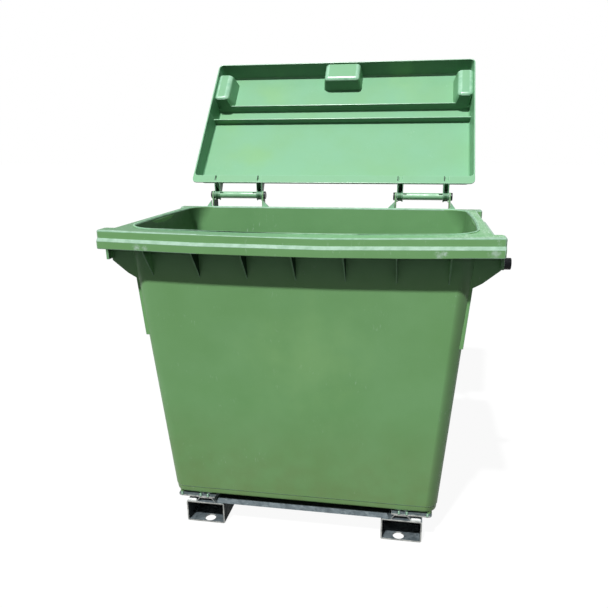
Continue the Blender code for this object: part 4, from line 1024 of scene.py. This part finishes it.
def revolved(name: str, profile: list[tuple[float, float]], centre: Vector, outward: int, steps: int,
             paints: list[bpy.types.Material]) -> bpy.types.Object:
    """Revolve a profile about an axis along X.

    Args:
        name: the piece's name.
        profile: distance along the axis and radius of each point.
        centre: the point of the axis from which distances count.
        outward: 1 where the profile runs towards +X and -1 towards -X.
        steps: how many sides the round has.
        paints: its materials.

    Returns:
        The piece, shaded smooth but for its sharp edges.
    """
    form = bmesh.new()
    rings = []
    for along, radius in profile:
        here = centre + Vector((outward * along, 0, 0))
        if radius < MM / 100:
            rings.append([form.verts.new(here)])
            continue
        rings.append([form.verts.new(here + Vector((0, radius * cos(turn), radius * sin(turn))))
                      for turn in (tau * step / steps for step in range(steps))])
    for low, high in zip(rings, rings[1:]):
        for at in range(steps):
            ring = [low[at % len(low)], low[(at + 1) % len(low)], high[(at + 1) % len(high)], high[at % len(high)]]
            corners = list(dict.fromkeys(ring))
            if len(corners) > 2:
                form.faces.new(corners)
    bmesh.ops.recalc_face_normals(form, faces=form.faces)
    piece = new_piece(name, form, paints)
    piece.data.shade_smooth()
    piece.data.set_sharp_from_angle(angle=radians(30))
    return piece


def rounded_profile(points: list[tuple[float, float]], radius: float, steps: int = 3) -> list[tuple[float, float]]:
    """Round the inner corners of an open profile.

    Args:
        points: the profile's corners.
        radius: how far from a corner the round starts.
        steps: how many pieces each round has.

    Returns:
        The profile with its rounds.
    """
    made = [points[0]]
    for before, here, after in zip(points, points[1:], points[2:]):
        corner = Vector(here)
        first = corner + (Vector(before) - corner).normalized() * min(radius, (Vector(before) - corner).length / 2)
        last = corner + (Vector(after) - corner).normalized() * min(radius, (Vector(after) - corner).length / 2)
        for step in range(steps + 1):
            share = step / steps
            point = first.lerp(corner, share).lerp(corner.lerp(last, share), share)
            made.append((point.x, point.y))
    made.append(points[-1])
    return made


# The bin

@dataclass
class MouldedBin:
    """The green bin with its rim, its housings and its lugs."""

    edge_round: float = 1.1 * MM
    rim_top: float = 1.0975
    # The front bar sags between its corners, most at its middle.
    sag: float = 11 * MM
    sag_half: float = 0.590
    sag_front: float = -0.556653
    sag_rear: float = -0.436653
    bar_bottom: float = 1.0400
    rib_low: float = 0.90
    rib_reach: float = 0.52
    rib_front: float = -0.560
    ledge_low: float = 1.0500
    ledge_high: float = 1.0750
    bead_base: float = 1.0985
    lug_base: float = 1.1030
    flat: float = 0.97
    # Loads have bent the long edges of the mouth's two sides outward.
    bow: float = 8.5 * MM
    bow_middle: float = -0.264
    bow_half: float = 0.224
    bow_cuts: int = 8
    bow_from: float = 0.538
    bow_to: float = 0.563
    bow_low: float = 1.0276
    wall_area: float = 0.1
    skin: float = 2 * MM
    inside_low: float = 0.118
    # The wall's outside at its foot and at its top: height, half width, front and rear.
    wall_low: tuple[float, float, float, float] = (0.115, 0.482, -0.535653, 0.003347)
    wall_high: tuple[float, float, float, float] = (1.0975, 0.555, -0.573153, 0.049347)
    wall: float = 6 * MM
    made: list[bpy.types.Object] = field(default_factory=list)

    def build(self, finishes: Finishes) -> None:
        """Make the bin with softened edges.

        Args:
            finishes: the bin's finishes.
        """
        paints = [finishes.body, finishes.body_edge, finishes.body_inside, finishes.body_top, finishes.body_rib,
                  finishes.body_bead]
        shell = Softening(self.edge_round).apply("body_shell", "moulded_bin", paints, Body.BIN, Slot.BODY, self.mark,
                                                 self.shape)
        self.made.append(shell)

    def shape(self, form: bmesh.types.BMesh) -> None:
        """Bow the long edges of the mouth's two sides outward, as loads have bent them.

        Args:
            form: the bin's form.
        """
        walls = [face for face in form.faces if abs(face.normal.x) > 0.9 and face.calc_area() > self.wall_area]
        for wall in walls:
            ends = [vert for vert in wall.verts if abs(vert.co.z - self.bow_low) < self.skin]
            if len(ends) == 2:
                bmesh.ops.connect_verts(form, verts=ends)
        for number in range(1, self.bow_cuts):
            along = self.bow_middle + self.bow_half * (2 * number / self.bow_cuts - 1)
            near = [face for face in form.faces if all(
                abs(vert.co.x) > self.bow_from and vert.co.z > self.bow_low - self.skin for vert in face.verts)]
            geometry = list({item for face in near for item in (face, *face.edges, *face.verts)})
            bmesh.ops.bisect_plane(form, geom=geometry, dist=self.edge_round / 50, plane_co=(0, along, 0),
                                   plane_no=(0, 1, 0))
        for vert in form.verts:
            if self.bow_from < abs(vert.co.x) < self.bow_to and vert.co.z > self.bow_low:
                vert.co.x += (1 if vert.co.x > 0 else -1) * self.bow_at(vert.co)

    def bow_at(self, place: Vector) -> float:
        """How far the mouth's side is bowed outward at a height and a place along the side."""
        rise = min(1.0, max(0.0, (place.z - self.bow_low) / (self.rim_top - self.bow_low)))
        return self.bow * rise * max(0.0, 1 - ((place.y - self.bow_middle) / self.bow_half) ** 2)

    def mark(self, face: bmesh.types.BMFace) -> int:
        """Tell the worn and highlight-painted ledges and rounds, the faces with painted shade, the inside and the
        rim's top from the rest.

        Args:
            face: a face of the bin.

        Returns:
            The number of the face's material.
        """
        centre = face.calc_center_median()
        normal = face.normal
        height = self.lifted(centre)
        if self.is_inside(centre, normal):
            return BinPaint.INSIDE
        # The lugs' faces that look right get painted shade.
        if height > self.lug_base:
            return BinPaint.RIB if normal.x > 0.7 else BinPaint.BODY
        if height > self.bead_base:
            return BinPaint.BEAD
        if height > self.rim_top - self.skin and normal.z > self.flat:
            return BinPaint.TOP
        # The ribs' side faces under the front bar get painted shade.
        on_rib = abs(normal.x) > 0.6 and self.rib_low < centre.z < self.bar_bottom and abs(centre.x) < self.rib_reach
        if on_rib and centre.y < self.rib_front:
            return BinPaint.RIB
        on_ledge = self.ledge_low < height < self.ledge_high and normal.z > 0.5
        on_round = height > self.ledge_high and 0.25 < normal.z < self.flat
        return BinPaint.EDGE if on_ledge or on_round else BinPaint.BODY

    def lifted(self, place: Vector) -> float:
        """The height that a point of the rim would have if the front bar didn't sag.

        Args:
            place: the point.

        Returns:
            The height, in metres.
        """
        bow = max(0.0, 1 - (place.x / self.sag_half) ** 2)
        near = (self.sag_rear - place.y) / (self.sag_rear - self.sag_front)
        return place.z + self.sag * bow * min(1.0, max(0.0, near))

    def is_inside(self, centre: Vector, normal: Vector) -> bool:
        """Tell whether a face belongs to the hollow of the bin.

        Args:
            centre: the middle of the face.
            normal: the way it looks.

        Returns:
            Whether it lies within the walls and looks inward.
        """
        if centre.z < self.inside_low:
            return False
        share = (centre.z - self.wall_low[0]) / (self.wall_high[0] - self.wall_low[0])
        half, front, rear = (low + (high - low) * share for low, high in zip(self.wall_low[1:], self.wall_high[1:]))
        slack = self.wall * 0.6
        across = abs(centre.x) - self.bow_at(centre)
        within = across < half - slack and front + slack < centre.y < rear - slack
        inward = Vector((0, (front + rear) / 2, centre.z)) - centre
        return within and inward.dot(normal) > -0.01 * MM and self.lifted(centre) < self.rim_top - self.skin


@dataclass
class TrayLid:
    """The lid, laid back on its stops."""

    edge_round: float = 1.3 * MM
    axis: tuple[float, float] = (0.132347, 1.1395)
    opening: float = radians(133)
    setback: float = 34 * MM
    plane: float = -40.5 * MM
    mouth_half: float = 574 * MM
    mouth_front: float = 676 * MM
    lip_cut: float = 4.5 * MM
    front_lip_cut: float = 2.5 * MM
    ramp_top: float = 492 * MM
    rib_shift: float = 17 * MM
    rib_rise: float = 10 * MM
    side_start: float = 540 * MM
    round_depth: float = 14 * MM
    round_reach: float = 470 * MM
    round_end: float = 672 * MM
    slot_places: tuple[float, ...] = (-0.4840, -0.3005, 0.2812, 0.4648)
    slot_start: float = 12 * MM
    slot_end: float = 34 * MM
    slot_width: float = 3.4 * MM
    slot_span: tuple[float, float] = (-0.5 * MM, 0.15 * MM)
    lip_slack: float = 0.5 * MM
    lip_rear: float = 30 * MM
    front_zone: float = 600 * MM
    ramp_shift: float = 2 * MM
    ramp_slack: float = 3.5 * MM
    ramp_low: float = 55 * MM
    ramp_high: float = 65 * MM
    arm_reach: float = 34 * MM
    arm_depth: float = 6 * MM
    side_depth: float = 1.5 * MM
    made: list[bpy.types.Object] = field(default_factory=list)

    def build(self, finishes: Finishes) -> None:
        """Make the lid with softened edges.

        Args:
            finishes: the bin's finishes.
        """
        paints = [finishes.lid, finishes.lid_edge, finishes.lid_arm, finishes.lid_side]
        lid = Softening(self.edge_round).apply("lid", "tray_lid", paints, Body.LID, Slot.LID, self.mark, self.shape)
        self.made.append(lid)
        for number, across in enumerate(self.slot_places, 1):
            self.made.append(self.slot(f"arm_slot_{number}", across, finishes))

    def slot(self, name: str, across: float, finishes: Finishes) -> bpy.types.Object:
        """Make the dark slab that lies in the rear flange over an arm: painted shadow of the recess there.

        Args:
            name: the slot's name.
            across: where it lies along X.
            finishes: the bin's finishes.

        Returns:
            The slot.
        """
        start, end = self.world(across, self.slot_start, 0), self.world(across, self.slot_end, 0)
        out = (self.world(across, 0, -1) - self.world(across, 0, 0)).normalized()
        slot = stadium(name, start, end, self.slot_width, out, self.slot_span, [finishes.gap])
        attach(slot, Body.LID.value)
        return slot

    def local(self, place: Vector) -> tuple[float, float]:
        """Find a point of the laid-back lid on the lid itself.

        Args:
            place: the point.

        Returns:
            Its reach from the lid's rear edge and its depth from the lid's rim.
        """
        along, up = place.y - self.axis[0], place.z - self.axis[1]
        back = along * cos(self.opening) - up * sin(self.opening)
        rise = along * sin(self.opening) + up * cos(self.opening)
        return -back - self.setback, rise - self.plane

    def world(self, across: float, reach: float, depth: float) -> Vector:
        """Find the point of the laid-back lid at a reach and depth.

        Args:
            across: its place along X.
            reach: how far it lies from the lid's rear edge.
            depth: how far it lies from the lid's rim.

        Returns:
            The point.
        """
        back, rise = -reach - self.setback, depth + self.plane
        along = back * cos(self.opening) + rise * sin(self.opening)
        up = rise * cos(self.opening) - back * sin(self.opening)
        return Vector((across, self.axis[0] + along, self.axis[1] + up))

    def shape(self, form: bmesh.types.BMesh) -> None:
        """Move every corner of the lid to its finer place."""
        for vert in form.verts:
            vert.co = self.move(vert.co)

    def move(self, place: Vector) -> Vector:
        """Thin the lid's lip and steepen the step behind its front rib.

        Args:
            place: a corner of the lid.

        Returns:
            Its new place.
        """
        reach, depth = self.local(place)
        across = place.x
        within = abs(across) < self.mouth_half + self.lip_slack
        if depth < self.lip_slack and within and self.lip_rear < reach < self.mouth_front + self.lip_slack:
            across *= 1 + self.lip_cut / self.mouth_half
            if reach > self.front_zone:
                reach += self.front_lip_cut
        if depth > self.ramp_low and abs(reach - self.ramp_top - self.ramp_shift) < self.ramp_slack:
            reach -= self.rib_shift
            if depth < self.ramp_high:
                depth -= self.rib_rise
        return self.world(across, reach, depth)

    def mark(self, face: bmesh.types.BMFace) -> int:
        """Tell the arms behind the lid and its left inner side, both in painted shade, and the highlight-painted
        rounds from the tray.

        Args:
            face: a face of the lid.

        Returns:
            The number of the face's material.
        """
        centre = face.calc_center_median()
        reach, depth = self.local(centre)
        if reach < -1 * MM or (reach < self.arm_reach and depth > self.arm_depth):
            return LidPaint.ARM
        if face.normal.x > 0.5 and depth > self.side_depth and centre.x < -self.side_start:
            return LidPaint.SIDE
        up = -face.normal.y * sin(self.opening) - face.normal.z * cos(self.opening)
        on_round = 0.5 < up < 0.985 and depth < self.round_depth and self.round_reach < reach < self.round_end
        return LidPaint.EDGE if on_round else LidPaint.TRAY


@dataclass
class Hinges:
    """The two hinges: sleeves, pins and their caps."""

    cap_radius: float = 15.5 * MM
    cap_round: float = 1.8 * MM
    dimple_radius: float = 9.0 * MM
    dimple_depth: float = 0.8 * MM
    sleeve_round: float = 0.6 * MM
    slot_tilt: float = radians(40)
    slot_inset: float = 2.5 * MM
    slot_length: float = 11 * MM
    slot_width: float = 3.6 * MM
    slot_span: tuple[float, float] = (-0.9 * MM, 0.12 * MM)
    steps: int = 48
    made: list[bpy.types.Object] = field(default_factory=list)

    def build(self, finishes: Finishes) -> None:
        """Make the sleeves, pins and caps of both hinges.

        Args:
            finishes: the bin's finishes.
        """
        softening = Softening(self.sleeve_round)
        for side in Side:
            sleeve = f"hinge_sleeve_{side.word}"
            self.made.append(softening.apply(sleeve, f"slotted_sleeve_{side.word}", [finishes.sleeve], Body.BIN,
                                             Slot.SLEEVE))
            self.made.extend(self.sleeve_slots(side, finishes))
            dress(f"hinge_pin_{side.word}", finishes.zinc)
            for place, outward in (("inner", -side.value), ("outer", side.value)):
                self.made.append(self.cap(f"pin_cap_{side.word}_{place}", outward, finishes))

    def sleeve_slots(self, side: Side, finishes: Finishes) -> list[bpy.types.Object]:
        """Make the dark slabs at both ends of a sleeve: painted shade for its slots.

        Args:
            side: the side of the bin.
            finishes: the bin's finishes.

        Returns:
            The two slots.
        """
        low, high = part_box(f"hinge_sleeve_{side.word}")
        out = Vector((0, -cos(self.slot_tilt), sin(self.slot_tilt)))
        middle = (low + high) / 2
        radius = (high.z - low.z) / 2
        slots = []
        for word, end, inward in (("left", low.x, 1), ("right", high.x, -1)):
            start = Vector((end + inward * self.slot_inset, middle.y, middle.z)) + out * radius
            far = start + Vector((inward * self.slot_length, 0, 0))
            slot = stadium(f"sleeve_slot_{side.word}_{word}", start, far, self.slot_width, out,
                           self.slot_span, [finishes.gap])
            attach(slot, Body.BIN.value)
            slots.append(slot)
        return slots

    def cap(self, node: str, outward: int, finishes: Finishes) -> bpy.types.Object:
        """Make one push-on cap with a dished face.

        Args:
            node: the cap's node.
            outward: the direction along X in which its face looks.
            finishes: the bin's finishes.

        Returns:
            The cap.
        """
        low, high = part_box(node)
        middle = (low + high) / 2
        seat = low.x if outward > 0 else high.x
        length = high.x - low.x
        corners = [(0, 0), (0, self.cap_radius), (length, self.cap_radius), (length, self.dimple_radius),
                   (length - self.dimple_depth, self.dimple_radius - self.dimple_depth),
                   (length - self.dimple_depth, 0)]
        profile = rounded_profile(corners, self.cap_round)
        cap = revolved(f"push_on_{node}", profile, Vector((seat, middle.y, middle.z)), outward, self.steps,
                       [finishes.cap])
        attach(cap, Body.BIN.value)
        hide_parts(node)
        return cap


@dataclass
class Trunnions:
    """The two black lifting stubs with their collars."""

    radius: float = 20 * MM
    spigot: float = 13 * MM
    shoulder: float = 0.6273
    edge_round: float = 2.6 * MM
    groove_radius: float = 12 * MM
    groove_depth: float = 1.2 * MM
    steps: int = 64
    made: list[bpy.types.Object] = field(default_factory=list)

    def build(self, finishes: Finishes) -> None:
        """Make the stubs and dress the collars.

        Args:
            finishes: the bin's finishes.
        """
        for side in Side:
            node = f"trunnion_{side.word}"
            low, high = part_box(node)
            middle = (low + high) / 2
            inner = low.x if side is Side.RIGHT else high.x
            length = high.x - low.x
            seat = self.shoulder - side.value * inner
            corners = [(0, 0), (0, self.spigot), (seat, self.spigot), (seat, self.radius), (length, self.radius),
                       (length, self.groove_radius), (length - self.groove_depth, self.groove_radius),
                       (length - self.groove_depth, 0)]
            whole = corners[:3] + rounded_profile(corners[3:6], self.edge_round, 4) + corners[6:]
            stub = revolved(f"lifting_stub_{side.word}", whole, Vector((inner, middle.y, middle.z)), side.value,
                            self.steps, [finishes.trunnion])
            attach(stub, Body.BIN.value)
            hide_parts(node)
            self.made.append(stub)
            dress(f"trunnion_collar_{side.word}", finishes.zinc)


@dataclass
class ForkFrame:
    """The galvanised frame: pockets, rails, hat sections, plates, bolts and welds."""

    edge_round: float = 0.7 * MM
    weld_radius: float = 2.2 * MM
    ripple: float = 0.35 * MM
    ripple_pitch: float = 3.0 * MM
    pad_outer: float = 0.4255
    pad_inner: float = 0.3990
    pad_inset: float = 5.5 * MM
    pad_width: float = 9.5 * MM
    pad_height: float = 9.0 * MM
    stud_radius: float = 4.0 * MM
    stud_height: float = 11.0 * MM
    washer: float = 2.0 * MM
    stud_foot: float = 107.9 * MM
    stud_row: float = -542.4 * MM
    stud_places: tuple[float, ...] = (-0.4505, -0.3790, -0.3515, 0.3515, 0.3790, 0.4505)
    stud_steps: int = 24
    pad_foot: float = 0.3 * MM
    pocket_skin: float = 2 * MM
    hat_inset: float = 9 * MM
    rail_inset: float = 6 * MM
    rail_lift: float = 0.5 * MM
    weld_steps: int = 10
    weld_wobble: float = 0.3 * MM
    wobble_pitch: float = 1 / 180
    made: list[bpy.types.Object] = field(default_factory=list)

    def build(self, finishes: Finishes) -> None:
        """Make every piece of the frame.

        Args:
            finishes: the bin's finishes.
        """
        softening = Softening(self.edge_round)
        tube = [finishes.galvanised, finishes.cut_edge, finishes.galvanised_inside]
        sheet = [finishes.galvanised, finishes.cut_edge]
        angle = [finishes.galvanised, finishes.galvanised, finishes.galvanised_inside]
        for side in Side:
            node = f"fork_pocket_{side.word}"
            low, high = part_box(node)
            self.made.append(softening.apply(node, f"pocket_tube_{side.word}", tube, Body.BIN, Slot.GALVANISED,
                                             self.inside_mark(low, high)))
            for end in ("front", "rear"):
                for kind, word in (("corner_plate", "bushed_plate"), ("hat_section", "folded_hat")):
                    node = f"{kind}_{end}_{side.word}"
                    self.made.append(softening.apply(node, f"{word}_{end}_{side.word}", sheet, Body.BIN,
                                                     Slot.GALVANISED, self.edge_mark))
                self.hat_welds(end, side, finishes)
                self.rail_weld(end, side, finishes)
                for number in range(1, 5):
                    dress(f"bin_bolt_{end}_{side.word}_{number}", finishes.zinc)
        self.studs(finishes)
        self.pads(finishes)
        for end in ("front", "rear"):
            self.made.append(softening.apply(f"cross_rail_{end}", f"angle_rail_{end}", angle, Body.BIN,
                                             Slot.GALVANISED, self.top_mark))

    def edge_mark(self, face: bmesh.types.BMFace) -> int:
        """Tell a sheared front or rear edge of a folded sheet, painted paler for its highlight, from any other face.
        """
        return SteelPaint.CUT if abs(face.normal.y) > 0.9 else SteelPaint.SKIN

    def studs(self, finishes: Finishes) -> None:
        """Set the small domed studs that stand on the front edge of the corner plates.

        Args:
            finishes: the bin's finishes.
        """
        corners = [(0, 0), (0, self.stud_radius * 1.25), (self.washer, self.stud_radius * 1.25),
                   (self.washer, self.stud_radius), (self.stud_height, self.stud_radius), (self.stud_height, 0)]
        profile = rounded_profile(corners, 1.2 * MM)
        for number, across in enumerate(self.stud_places, 1):
            stud = revolved(f"plate_stud_{number}", profile, Vector(), 1, self.stud_steps, [finishes.stud])
            stud.data.transform(Matrix.Translation(Vector((across, self.stud_row, self.stud_foot)))
                                @ Matrix.Rotation(-pi / 2, 4, "Y"))
            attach(stud, Body.BIN.value)
            self.made.append(stud)

    def pads(self, finishes: Finishes) -> None:
        """Set the weld pads beside the outer foot of every hat section: zinc spray, painted near white for the sun's
        glare.

        Args:
            finishes: the bin's finishes.
        """
        for end in ("front", "rear"):
            for side in Side:
                low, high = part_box(f"fork_pocket_{side.word}")
                row = low.y + self.pad_inset if end == "front" else high.y - self.pad_inset
                top = Vector((side.value * self.pad_outer, row, high.z))
                inner = Vector((side.value * self.pad_inner, row, high.z))
                pad = stadium(f"weld_pad_{end}_{side.word}", top, inner, self.pad_width, Vector((0, 0, 1)),
                              (self.pad_foot, self.pad_height), [finishes.spray])
                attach(pad, Body.BIN.value)
                self.made.append(pad)

    def top_mark(self, face: bmesh.types.BMFace) -> int:
        """Tell a rail's face that looks up into the dark under the bin, which gets painted shade, from any other."""
        return SteelPaint.DARK if face.normal.z > 0.8 else SteelPaint.SKIN

    def inside_mark(self, low: Vector, high: Vector) -> Callable[[bmesh.types.BMFace], int]:
        """Tell a pocket's cut ends, and its inner and inward-looking faces that get painted shade, from its outer
        ones.

        Args:
            low: the pocket's lowest corner.
            high: its highest corner.

        Returns:
            A function that gives a face's material number.
        """
        skin = self.pocket_skin

        def mark(face: bmesh.types.BMFace) -> int:
            """Tell the cut ends and the faces with painted shade.

            Args:
                face: a face of the pocket.

            Returns:
                The number of the face's material.
            """
            centre = face.calc_center_median()
            within = (low.x + skin < centre.x < high.x - skin) and (low.z + skin < centre.z < high.z - skin)
            shaded = face.normal.x * centre.x < -0.7 * abs(centre.x)
            if abs(face.normal.y) > 0.9:
                return SteelPaint.CUT
            return SteelPaint.DARK if (within and face.normal.z < 0.5) or shaded else SteelPaint.SKIN

        return mark

    def weld(self, name: str, start: Vector, end: Vector, finishes: Finishes) -> None:
        """Lay one rippled weld bead.

        Args:
            name: the bead's name.
            start: where it starts.
            end: where it ends.
            finishes: the bin's finishes.
        """
        run = end - start
        along = run.normalized()
        side = along.orthogonal().normalized()
        other = along.cross(side)
        count = max(6, int(run.length / self.ripple_pitch * 3))
        form = bmesh.new()
        rings = []
        for step in range(count + 1):
            share = step / count
            here = start + run * share
            wobble = noise.noise(here / self.wobble_pitch) * self.weld_wobble
            # A bead starts and ends at a quarter of its thickness.
            ends = min(1.0, 0.25 + 4 * min(share, 1 - share))
            radius = (self.weld_radius + self.ripple * sin(tau * share * run.length / self.ripple_pitch)) * ends
            turns = [tau * at / self.weld_steps for at in range(self.weld_steps)]
            rings.append([form.verts.new(here + (side * cos(turn) + other * sin(turn)) * radius + other * wobble)
                          for turn in turns])
        for low, high in zip(rings, rings[1:]):
            for at in range(self.weld_steps):
                beyond = (at + 1) % self.weld_steps
                form.faces.new((low[at], low[beyond], high[beyond], high[at]))
        form.faces.new(rings[0])
        form.faces.new(rings[-1])
        bmesh.ops.recalc_face_normals(form, faces=form.faces)
        bead = new_piece(name, form, [finishes.weld])
        bead.data.shade_smooth()
        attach(bead, Body.BIN.value)
        self.made.append(bead)

    def hat_welds(self, end: str, side: Side, finishes: Finishes) -> None:
        """Weld the two feet of a hat section to its pocket.

        Args:
            end: front or rear.
            side: the side of the bin.
            finishes: the bin's finishes.
        """
        low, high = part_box(f"hat_section_{end}_{side.word}")
        for place, across in (("inner", low.x), ("outer", high.x)):
            start = Vector((across, low.y + self.hat_inset, low.z))
            finish = Vector((across, high.y - self.hat_inset, low.z))
            self.weld(f"hat_weld_{end}_{side.word}_{place}", start, finish, finishes)

    def rail_weld(self, end: str, side: Side, finishes: Finishes) -> None:
        """Weld the slanted end of a cross rail to its pocket.

        Args:
            end: front or rear.
            side: the side of the bin.
            finishes: the bin's finishes.
        """
        low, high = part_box(f"cross_rail_{end}")
        across = low.x if side is Side.LEFT else high.x
        start = Vector((across, low.y + self.rail_inset, low.z + self.rail_lift))
        finish = Vector((across, high.y - self.rail_inset, low.z + self.rail_lift))
        self.weld(f"rail_weld_{end}_{side.word}", start, finish, finishes)


# The studio

@dataclass
class Studio:
    """A white floor, a plain white room, soft lamps and the photograph's camera."""

    floor_size: float = 60.0
    floor_gap: float = 0.2 * MM
    floor_white: float = 0.94
    floor_grey: float = 0.07
    room_colour: tuple[float, float, float] = (0.93, 0.97, 1.0)
    room_light: float = 0.105
    sun_power: float = 4.05
    sun_width: float = radians(2.5)
    sun_way: tuple[float, float, float] = (-0.27, -1.0, 1.63)
    camera_place: tuple[float, float, float] = (0.3770, -2.38885, 1.3660)
    camera_yaw: float = radians(9.61)
    camera_pitch: float = radians(-18.62)
    camera_roll: float = radians(-0.36)
    focal_pixels: float = 604.35
    centre_pixels: tuple[float, float] = (317.38, 341.37)
    frame_pixels: int = 608

    def build(self) -> None:
        """Set up the room, the lamps and the camera."""
        self.floor()
        self.room()
        self.sun()
        self.camera()
        bpy.context.scene.view_settings.view_transform = "Standard"

    def floor(self) -> None:
        """Lay a floor that looks white and keeps the object's shadow."""
        form = bmesh.new()
        bmesh.ops.create_grid(form, x_segments=1, y_segments=1, size=self.floor_size / 2)
        canvas = Canvas.named("pale_floor")
        canvas.feed("Base Color", (self.floor_grey, self.floor_grey, self.floor_grey, 1))
        canvas.feed("Roughness", 0.9)
        canvas.feed("Specular IOR Level", 0.0)
        canvas.feed("Emission Color", (1, 1, 1, 1))
        canvas.feed("Emission Strength", canvas.product(self.seen(canvas.tree), self.floor_white))
        floor = new_piece("pale_floor", form, [canvas.material])
        floor.location.z = CAD_BOX[0].z - self.floor_gap

    def seen(self, tree: bpy.types.NodeTree) -> Socket:
        """Tell the rays that meet plain white: the camera's, and those that mirror or pass through the object.

        Args:
            tree: the node tree of the floor or the room.

        Returns:
            A socket that is 1 for these rays and 0 for the light itself.
        """
        rays = add_node(tree, "ShaderNodeLightPath")
        result = rays.outputs["Is Camera Ray"]
        for kind in ("Is Glossy Ray", "Is Transmission Ray"):
            result = add_node(tree, "ShaderNodeMath", {0: result, 1: rays.outputs[kind]}, operation="ADD",
                              use_clamp=True).outputs[0]
        return result

    def room(self) -> None:
        """Light the object evenly from the room, which the camera sees as white."""
        world = bpy.data.worlds.new("white_room")
        world.use_nodes = True
        tree = world.node_tree
        soft = tree.nodes["Background"]
        soft.inputs["Color"].default_value = (*self.room_colour, 1)
        soft.inputs["Strength"].default_value = self.room_light
        white = add_node(tree, "ShaderNodeBackground", {"Color": (1, 1, 1, 1), "Strength": 1.0})
        mix = add_node(tree, "ShaderNodeMixShader", {0: self.seen(tree), 1: soft.outputs[0], 2: white.outputs[0]})
        tree.links.new(mix.outputs[0], tree.nodes["World Output"].inputs["Surface"])
        bpy.context.scene.world = world

    def sun(self) -> None:
        """Hang the sun high in front of the bin and slightly to its left."""
        light = bpy.data.lights.new("sun", "SUN")
        light.energy = self.sun_power
        light.angle = self.sun_width
        thing = bpy.data.objects.new("sun", light)
        bpy.context.scene.collection.objects.link(thing)
        thing.rotation_euler = Vector(self.sun_way).to_track_quat("Z", "Y").to_euler()

    def camera(self) -> None:
        """Put the camera where the photograph was taken from."""
        ahead = Vector((-sin(self.camera_yaw) * cos(self.camera_pitch),
                        cos(self.camera_yaw) * cos(self.camera_pitch), sin(self.camera_pitch)))
        level = Vector((cos(self.camera_yaw), sin(self.camera_yaw), 0))
        above = level.cross(ahead)
        right = level * cos(self.camera_roll) + above * sin(self.camera_roll)
        up = above * cos(self.camera_roll) - level * sin(self.camera_roll)
        lens = bpy.data.cameras.new("photo_camera")
        lens.sensor_width = 36
        lens.lens = self.focal_pixels * lens.sensor_width / self.frame_pixels
        lens.shift_x = -(self.centre_pixels[0] - self.frame_pixels / 2) / self.frame_pixels
        lens.shift_y = (self.centre_pixels[1] - self.frame_pixels / 2) / self.frame_pixels
        lens.clip_start = 0.01
        thing = bpy.data.objects.new("photo_camera", lens)
        bpy.context.scene.collection.objects.link(thing)
        turn = Matrix((right, up, -ahead)).transposed().to_4x4()
        thing.matrix_world = Matrix.Translation(self.camera_place) @ turn
        bpy.context.scene.camera = thing


def main() -> None:
    """Build every part of the bin and the studio, and report what was made."""
    logging.basicConfig(level=logging.INFO, format="%(name)s: %(message)s")
    finishes = Finishes()
    for part in (MouldedBin(), TrayLid(), Hinges(), Trunnions(), ForkFrame()):
        part.build(finishes)
        for piece in part.made:
            LOG.info("%s: %s, %d faces", type(part).__name__, piece.name, len(piece.data.polygons))
    Studio().build()


if __name__ == "__main__":
    main()
